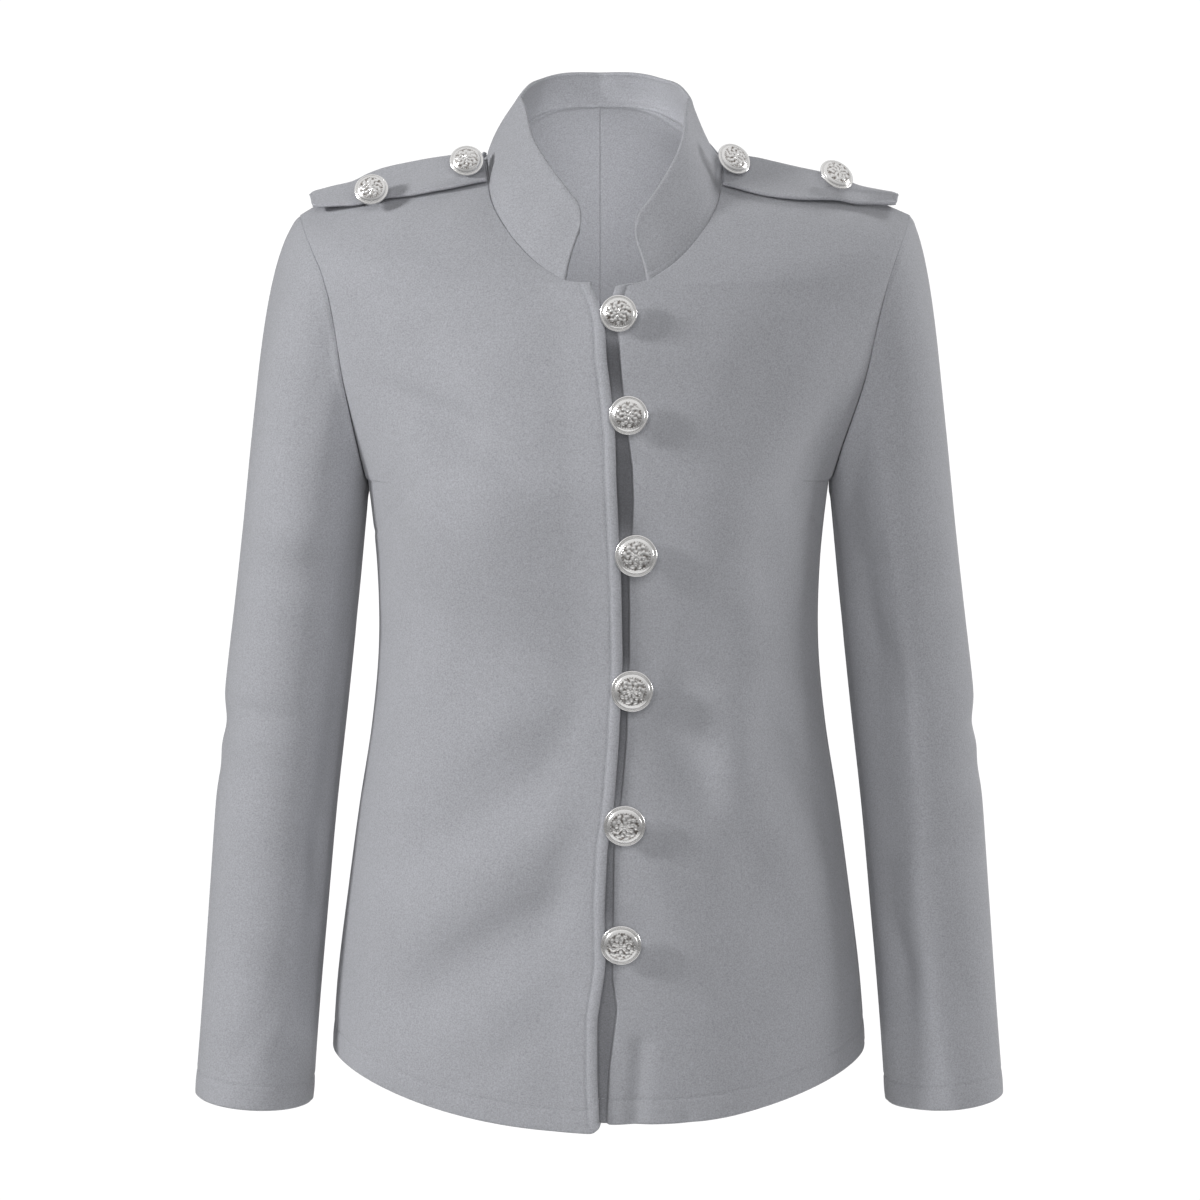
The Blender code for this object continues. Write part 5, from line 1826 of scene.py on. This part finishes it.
@dataclass
class Button:
    """A pressed shank button: a domed face with a rosette and leaves, a rim and a shank."""

    row: ButtonRow
    columns: int = 120
    face_rows: int = 52
    rim_rows: int = 12
    shank_radius: float = 2.4
    shank_length: float = 6.5
    dome_height: float = 5.2
    dome_share: float = 0.85  # this and the next three are shares of the button's radius
    rim_middle: float = 0.935
    rim_round: float = 0.065
    ornament: float = 0.7
    dome_sink: float = 0.25  # how far the dome's foot lies below the rim's height
    rim_height: float = 2.6
    rim_level: float = 0.62  # of the rim's height
    rim_bulge: float = 1.05
    rim_turns: tuple[float, float] = (0.86, -0.42)  # half turns
    relief: float = 0.5
    boss_width: float = 0.07
    vein_depth: float = 0.5
    vein_width: float = 0.16
    grain: float = 0.10
    grain_end: float = 0.68
    carved_range: tuple[float, float] = (-0.1, 1.1)

    def carved(self, share: Array, angle: Array) -> Array:
        """The ornament's height: a boss, a veined rosette, two rings of leaves and one of beads.

        Args:
            share: distance from the middle, as a share of the button's radius.
            angle: the way round, in radians.

        Returns:
            A height for each point, from about 0 to 1.
        """
        veins = 1 - self.vein_depth * bell(np.sin(ROSETTE.count / 2 * angle), self.vein_width)
        height = bell(share, self.boss_width) + ROSETTE.at(share, angle) * veins
        height = height + sum(ring.at(share, angle) for ring in LEAVES)
        across, up = share * np.cos(angle), share * np.sin(angle)
        grain = self.grain * ripple(17 * across + 3, 0.3) * ripple(15 * up, 1.9)
        grain = grain * smooth_step((self.grain_end - share) * 12)
        return np.clip(height + grain, *self.carved_range)

    def outline(self) -> tuple[Array, Array]:
        """The outline from the middle of the face over the dome, the rim and the shank.

        The dome is a quarter of an ellipse, and the rim is most of one.

        Returns:
            Distances from the button's axis, and heights above its foot.
        """
        radius, disc = self.row.diameter / 2, self.shank_length
        lean = np.linspace(0, 1, self.face_rows) * np.pi / 2
        dome_foot = disc + self.rim_height - self.dome_sink
        dome_rise = disc + self.dome_height - dome_foot
        turn = np.linspace(*self.rim_turns, self.rim_rows) * np.pi
        rim_height = disc + self.rim_height * self.rim_level
        rim_height = rim_height + radius * self.rim_round * self.rim_bulge * np.sin(turn)
        under, top, foot = (np.array(part).T for part in (UNDERSIDE, SHANK_TOP, SHANK_FOOT))
        shank = np.concatenate([top[0], foot[0]]) * self.shank_radius
        distance = [
            radius * self.dome_share * np.sin(lean),
            radius * (self.rim_middle + self.rim_round * np.cos(turn)),
            under[0] * radius,
            shank,
        ]
        height = [dome_foot + dome_rise * np.cos(lean), rim_height, disc + under[1]]
        return np.concatenate(distance), np.concatenate([*height, disc + top[1], foot[1]])

    def build(self, finish: Material) -> Piece:
        """Makes the button in its solid's place: its outline, turned round its axis.

        The face's points then rise by the ornament.

        Args:
            finish: the plate's material.

        Returns:
            The button.
        """
        row = self.row
        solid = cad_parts[row.node]
        points = np.array([vertex.co for vertex in solid.data.vertices]) / MM
        nod, turn = np.radians(row.nod), np.radians(row.turn)
        axis = np.array([np.sin(turn) * np.cos(nod), -np.cos(turn) * np.cos(nod), np.sin(nod)])
        heights = points @ axis
        crown = points[np.argmax(heights)]
        foot = crown + (heights.min() - crown @ axis) * axis
        sideways = unit(np.cross(axis, [0, 0, 1]))
        upwards = np.cross(sideways, axis)

        distance, height = self.outline()
        share = (distance / (row.diameter / 2))[:, None]
        angle = np.arange(self.columns) * 2 * np.pi / self.columns
        on_face = (np.arange(len(distance)) < self.face_rows)[:, None]
        carved = self.carved(share, angle + np.radians(row.ornament_turn))
        carved = np.where(on_face, carved, 0.0)
        carved[0] = carved[0].mean()
        lift = height[:, None] + self.relief * carved
        circle = np.cos(angle)[:, None] * sideways + np.sin(angle)[:, None] * upwards
        grid = foot + distance[:, None, None] * circle + lift[..., None] * axis

        points = np.concatenate([grid[1:].reshape(-1, 3), [grid[0].mean(axis=0), foot]])
        numbers = np.arange(len(points) - 2).reshape(-1, self.columns)
        top, bottom = np.full((2, self.columns), [[len(points) - 2], [len(points) - 1]])
        onwards = np.roll(numbers, -1, axis=1)
        quads = np.roll(cells(numbers, around=True)[:, ::-1], 1, axis=1)
        top_fan = np.stack([top, numbers[0], onwards[0]], axis=-1)
        foot_fan = np.stack([bottom, onwards[-1], numbers[-1]], axis=-1)
        faces = quads.tolist() + top_fan.tolist() + foot_fan.tolist()
        mesh = bpy.data.meshes.new(f"{row.node}_plate")
        mesh.from_pydata((points * MM).tolist(), [], faces)
        hollow = np.where(on_face & (share < self.ornament), 1 - np.clip(carved, 0, 1), 0.0)
        hollow = np.concatenate([hollow[1:].reshape(-1), [0.0, 0.5]]).astype(np.float32)
        mesh.attributes.new("hollow", "FLOAT", "POINT").data.foreach_set("value", hollow)
        mesh.shade_smooth()
        return add_piece(f"{row.node}_plate", mesh, finish, METAL_SLOT, row.node)


# Finishes ----------------------------------------


def linear(hex_colour: str) -> tuple[float, float, float, float]:
    """An sRGB hex colour as linear red, green, blue and 1, by the sRGB curve.

    Args:
        hex_colour: a hash and six digits.

    Returns:
        The colour.
    """
    values = [int(hex_colour[place : place + 2], 16) / 255 for place in (1, 3, 5)]
    bent = [v / 12.92 if v <= 0.04045 else ((v + 0.055) / 1.055) ** 2.4 for v in values]
    return (*bent, 1.0)


def add_node(
    tree: NodeTree, kind: str, settings: dict | None = None, links: dict | None = None
) -> Node:
    """Adds a node.

    Args:
        tree: where it goes.
        kind: its Blender type, without the words that all of them start with.
        settings: values for its own properties, or for its inputs where it has no such one.
        links: output sockets by the name or number of the input that each feeds.

    Returns:
        The node.
    """
    node = tree.nodes.new(f"ShaderNode{kind}")
    for name, value in (settings or {}).items():
        if isinstance(name, str) and hasattr(node, name):
            setattr(node, name, value)
        else:
            node.inputs[name].default_value = value
    for name, socket in (links or {}).items():
        tree.links.new(socket, node.inputs[name])
    return node


def new_material(
    name: str, settings: dict
) -> tuple[Material, NodeTree, Node]:
    """A new material.

    Args:
        name: its name.
        settings: values for its shader's sockets.

    Returns:
        The material, its node tree and its shader.
    """
    made = bpy.data.materials.new(name)
    made.use_nodes = True
    shader = made.node_tree.nodes["Principled BSDF"]
    for socket, value in settings.items():
        shader.inputs[socket].default_value = value
    return made, made.node_tree, shader


@dataclass(frozen=True)
class Melton:
    """Wool-blend melton, milled and cropped: a matt, even grey with a very short nap.

    The eye sees no weave, only a fine mottled grain, a soft lighter bloom at grazing angles
    and slight cloudiness where the nap lies another way.
    """

    dark: str = "#939498"
    light: str = "#B3B4BA"
    painted_lap_shadow: str = "#1E1E21"  # painted shadow colour, where the lap keeps the light out
    grain_mm: float = 0.9  # a nap tuft is about 0.3; drawn coarser so that it shows
    cloud_mm: float = 45.0
    cloud_share: float = 0.12
    tone_from: float = 0.34
    tone_to: float = 0.78
    nap_mm: float = 0.3
    nap_strength: float = 0.4
    roughness: float = 0.92
    specular: float = 0.25
    sheen: float = 0.18
    sheen_roughness: float = 0.55

    def make(self) -> Material:
        """Makes the material.

        Returns:
            The material, whose tone is its grain's noise plus a share of its clouds'.
        """
        surface = {
            "Roughness": self.roughness,
            "Specular IOR Level": self.specular,
            "Sheen Weight": self.sheen,
            "Sheen Roughness": self.sheen_roughness,
        }
        made, tree, shader = new_material("grey melton", surface)
        where = {"Vector": add_node(tree, "TexCoord").outputs["Object"]}
        fine = {"Scale": 1 / (self.grain_mm * MM), "Detail": 3.0, "Roughness": 0.6}
        grain = add_node(tree, "TexNoise", fine, where).outputs["Fac"]
        wide = {"Scale": 1 / (self.cloud_mm * MM), "Detail": 2.0}
        cloud = add_node(tree, "TexNoise", wide, where).outputs["Fac"]
        adding = {"operation": "MULTIPLY_ADD", 1: self.cloud_share}
        mixed = add_node(tree, "Math", adding, {0: cloud, 2: grain}).outputs[0]
        spread = {"From Min": self.tone_from, "From Max": self.tone_to}
        tone = add_node(tree, "MapRange", spread, {"Value": mixed}).outputs["Result"]
        tones = {"data_type": "RGBA", 6: linear(self.dark), 7: linear(self.light)}
        colour = add_node(tree, "Mix", tones, {0: tone}).outputs[2]
        nap = {"Strength": self.nap_strength, "Distance": self.nap_mm * MM}
        bump = add_node(tree, "Bump", nap, {"Height": grain}).outputs["Normal"]
        # painted shade: the shade attribute mixes the cloth's colour towards the painted lap
        # shadow colour
        shade = add_node(tree, "Attribute", {"attribute_name": "shade"}).outputs["Fac"]
        painted_shadow_tones = {"data_type": "RGBA", 7: linear(self.painted_lap_shadow)}
        shaded = add_node(tree, "Mix", painted_shadow_tones, {0: shade, 6: colour}).outputs[2]
        tree.links.new(shaded, shader.inputs["Base Color"])
        tree.links.new(bump, shader.inputs["Normal"])
        return made


@dataclass(frozen=True)
class SewingThread:
    """Spun polyester thread, a little smoother than the cloth, so it catches more light."""

    colour: str = "#A6A7AC"
    ply_mm: float = 0.45
    ply_height_mm: float = 0.1
    ply_strength: float = 0.3
    roughness: float = 0.6

    def make(self) -> Material:
        """Makes the material.

        Returns:
            The material, even in colour, with the plies' bump.
        """
        surface = {"Base Color": linear(self.colour), "Roughness": self.roughness}
        made, tree, shader = new_material("grey spun thread", surface)
        where = {"Vector": add_node(tree, "TexCoord").outputs["Object"]}
        plies = {"Scale": 1 / (self.ply_mm * MM), "Detail": 1.0}
        ply = add_node(tree, "TexNoise", plies, where).outputs["Fac"]
        height = {"Strength": self.ply_strength, "Distance": self.ply_height_mm * MM}
        bump = add_node(tree, "Bump", height, {"Height": ply}).outputs["Normal"]
        tree.links.new(bump, shader.inputs["Normal"])
        return made


@dataclass(frozen=True)
class SilverPlate:
    """Silver-plated pressed brass: bright on what is raised, dull and brown in the hollows."""

    bright: str = "#ECEBEA"
    dull: str = "#5A4E44"
    scuff_mm: float = 1.6
    aged_from: float = 0.30
    aged_to: float = 0.60
    most_aged: float = 0.9
    smoothest: float = 0.12
    roughest: float = 0.34

    def make(self) -> Material:
        """Makes the material.

        Returns:
            The material, dull where the ornament's depth times the scuffs' noise is high.
        """
        made, tree, shader = new_material("silver-plated brass", {"Metallic": 1.0})
        where = {"Vector": add_node(tree, "TexCoord").outputs["Object"]}
        hollow = add_node(tree, "Attribute", {"attribute_name": "hollow"}).outputs["Fac"]
        scuffs = {"Scale": 1 / (self.scuff_mm * MM), "Detail": 4.0}
        scuff = add_node(tree, "TexNoise", scuffs, where).outputs["Fac"]
        uneven = add_node(tree, "Math", {"operation": "MULTIPLY"}, {0: hollow, 1: scuff})
        spread = {"From Min": self.aged_from, "From Max": self.aged_to, "To Max": self.most_aged}
        aged = add_node(tree, "MapRange", spread, {"Value": uneven.outputs[0]})
        tones = {"data_type": "RGBA", 6: linear(self.bright), 7: linear(self.dull)}
        colour = add_node(tree, "Mix", tones, {0: aged.outputs["Result"]})
        polish = {"To Min": self.smoothest, "To Max": self.roughest}
        roughness = add_node(tree, "MapRange", polish, {"Value": scuff})
        tree.links.new(colour.outputs[2], shader.inputs["Base Color"])
        tree.links.new(roughness.outputs["Result"], shader.inputs["Roughness"])
        return made


# Studio ------------------------------------------


MIDDLE: Place = (0.0, 0.0, -0.266)  # what the camera and most lights face, in metres


class Light(NamedTuple):
    """A square soft light, in metres and watts."""

    name: str
    place: Place
    size: float
    power: float
    aim: Place = MIDDLE
    mirrored: bool = True  # whether metal mirrors it

    def make(self) -> None:
        """Makes the light, which the camera doesn't see."""
        data = bpy.data.lights.new(self.name, "AREA")
        data.size, data.energy = self.size, self.power
        made = bpy.data.objects.new(self.name, data)
        made.location = self.place
        made.visible_camera = False
        made.visible_glossy = self.mirrored
        towards = Vector(self.aim) - made.location
        made.rotation_euler = towards.to_track_quat("-Z", "Y").to_euler()
        bpy.context.scene.collection.objects.link(made)


LIGHTS = (
    Light("key", (-2.49, -1.0, 0.85), 0.5, 54.0),
    Light("front_fill", (0.1, -3.14, 0.75), 2.2, 62.0, mirrored=False),
    Light("right_fill", (2.8, 0.5, 0.0), 0.8, 34.0),
    Light("back_fill", (0.6, 3.0, 0.6), 1.5, 36.0, mirrored=False),
    Light("top_rim", (1.2, 0.9, 1.8), 0.8, 18.0, mirrored=False),
    Light("neck_fill", (0.0, -0.045, -0.05), 0.05, 0.11, aim=(0.0, 0.06, -0.045)),
)


@dataclass
class Studio:
    """The camera, the lights, a white surround and the pale floor, well below the jacket."""

    distance: float = 2.3
    elevation: float = 7.5
    lens: float = 106.95
    sensor: float = 36.0
    floor_height: float = -1.35
    floor_radius: float = 1.3
    floor_colour: str = "#F4F4F4"
    backdrop: float = 1.05  # the surround's strength as the camera sees it
    fill: float = 0.06  # and as it lights the jacket
    mirrored: tuple[float, float] = (0.28, 0.85)  # and as metal mirrors it, low and high
    mirrored_heights: tuple[float, float] = (-0.35, 0.75)

    def build(self) -> None:
        """Makes all of it."""
        self.camera()
        for light in LIGHTS:
            light.make()
        self.world()
        self.floor()

    def camera(self) -> None:
        """A camera that looks down at the jacket's middle by its elevation."""
        data = bpy.data.cameras.new("camera")
        data.lens, data.sensor_width, data.sensor_fit = self.lens, self.sensor, "HORIZONTAL"
        made = bpy.data.objects.new("camera", data)
        down = np.radians(self.elevation)
        away = np.array([0, -np.cos(down), np.sin(down)])
        made.location = np.array(MIDDLE) + self.distance * away
        made.rotation_euler = (np.pi / 2 - down, 0, 0)
        bpy.context.scene.collection.objects.link(made)
        bpy.context.scene.camera = made

    def world(self) -> None:
        """A white surround, which lights the jacket dimly and is dimmer where metal mirrors it.

        Its strength is the backdrop's for the camera's rays. For glossy ones it rises evenly
        with the ray's height, and for all others it is the fill.
        """
        world = bpy.data.worlds.new("studio")
        world.use_nodes = True
        tree = world.node_tree
        tree.nodes.clear()
        ray = add_node(tree, "LightPath").outputs
        way = add_node(tree, "TexCoord").outputs["Generated"]
        height = add_node(tree, "SeparateXYZ", None, {"Vector": way}).outputs["Z"]
        sockets = ("From Min", "From Max", "To Min", "To Max")
        spread = dict(zip(sockets, (*self.mirrored_heights, *self.mirrored)))
        mirrored = add_node(tree, "MapRange", spread, {"Value": height}).outputs["Result"]
        glossy = {"Value": ray["Is Glossy Ray"], "To Max": mirrored}
        dim = add_node(tree, "MapRange", {"To Min": self.fill}, glossy).outputs["Result"]
        seen = {"Value": ray["Is Camera Ray"], "To Min": dim}
        strength = add_node(tree, "MapRange", {"To Max": self.backdrop}, seen)
        strength = {"Strength": strength.outputs["Result"]}
        light = add_node(tree, "Background", {"Color": (1, 1, 1, 1)}, strength)
        add_node(tree, "OutputWorld", None, {"Surface": light.outputs[0]})
        bpy.context.scene.world = world

    def floor(self) -> None:
        """A round pale floor."""
        turn = np.linspace(0, 2 * np.pi, 97)[:-1]
        rim = np.stack([np.cos(turn), np.sin(turn), np.zeros_like(turn)], axis=-1)
        points = rim * self.floor_radius + np.array([0, 0, self.floor_height])
        mesh = bpy.data.meshes.new("floor")
        mesh.from_pydata(points.tolist(), [], [list(range(len(points)))])
        paint = {"Base Color": linear(self.floor_colour), "Roughness": 0.9}
        mesh.materials.append(new_material("pale matt paint", paint)[0])
        floor = bpy.data.objects.new("floor", mesh)
        bpy.context.scene.collection.objects.link(floor)


def main() -> None:
    """Builds the jacket piece by piece, then the studio."""
    logging.basicConfig(level=logging.INFO, format="%(name)s: %(message)s")
    bpy.context.scene.view_settings.view_transform = "Standard"
    cloth, thread, plate = Melton().make(), SewingThread().make(), SilverPlate().make()
    for face in Face:
        for side in Side:
            panel = Panel(face, side).build(cloth, thread)
    for side in Side:
        sleeve = Sleeve(side).build(cloth, thread)
        strap = ShoulderStrap(side).build(cloth, thread)
    collar = Collar().build(cloth, thread)
    for row in BUTTONS:
        Button(row).build(plate)
    Studio().build()


if __name__ == "__main__":
    main()
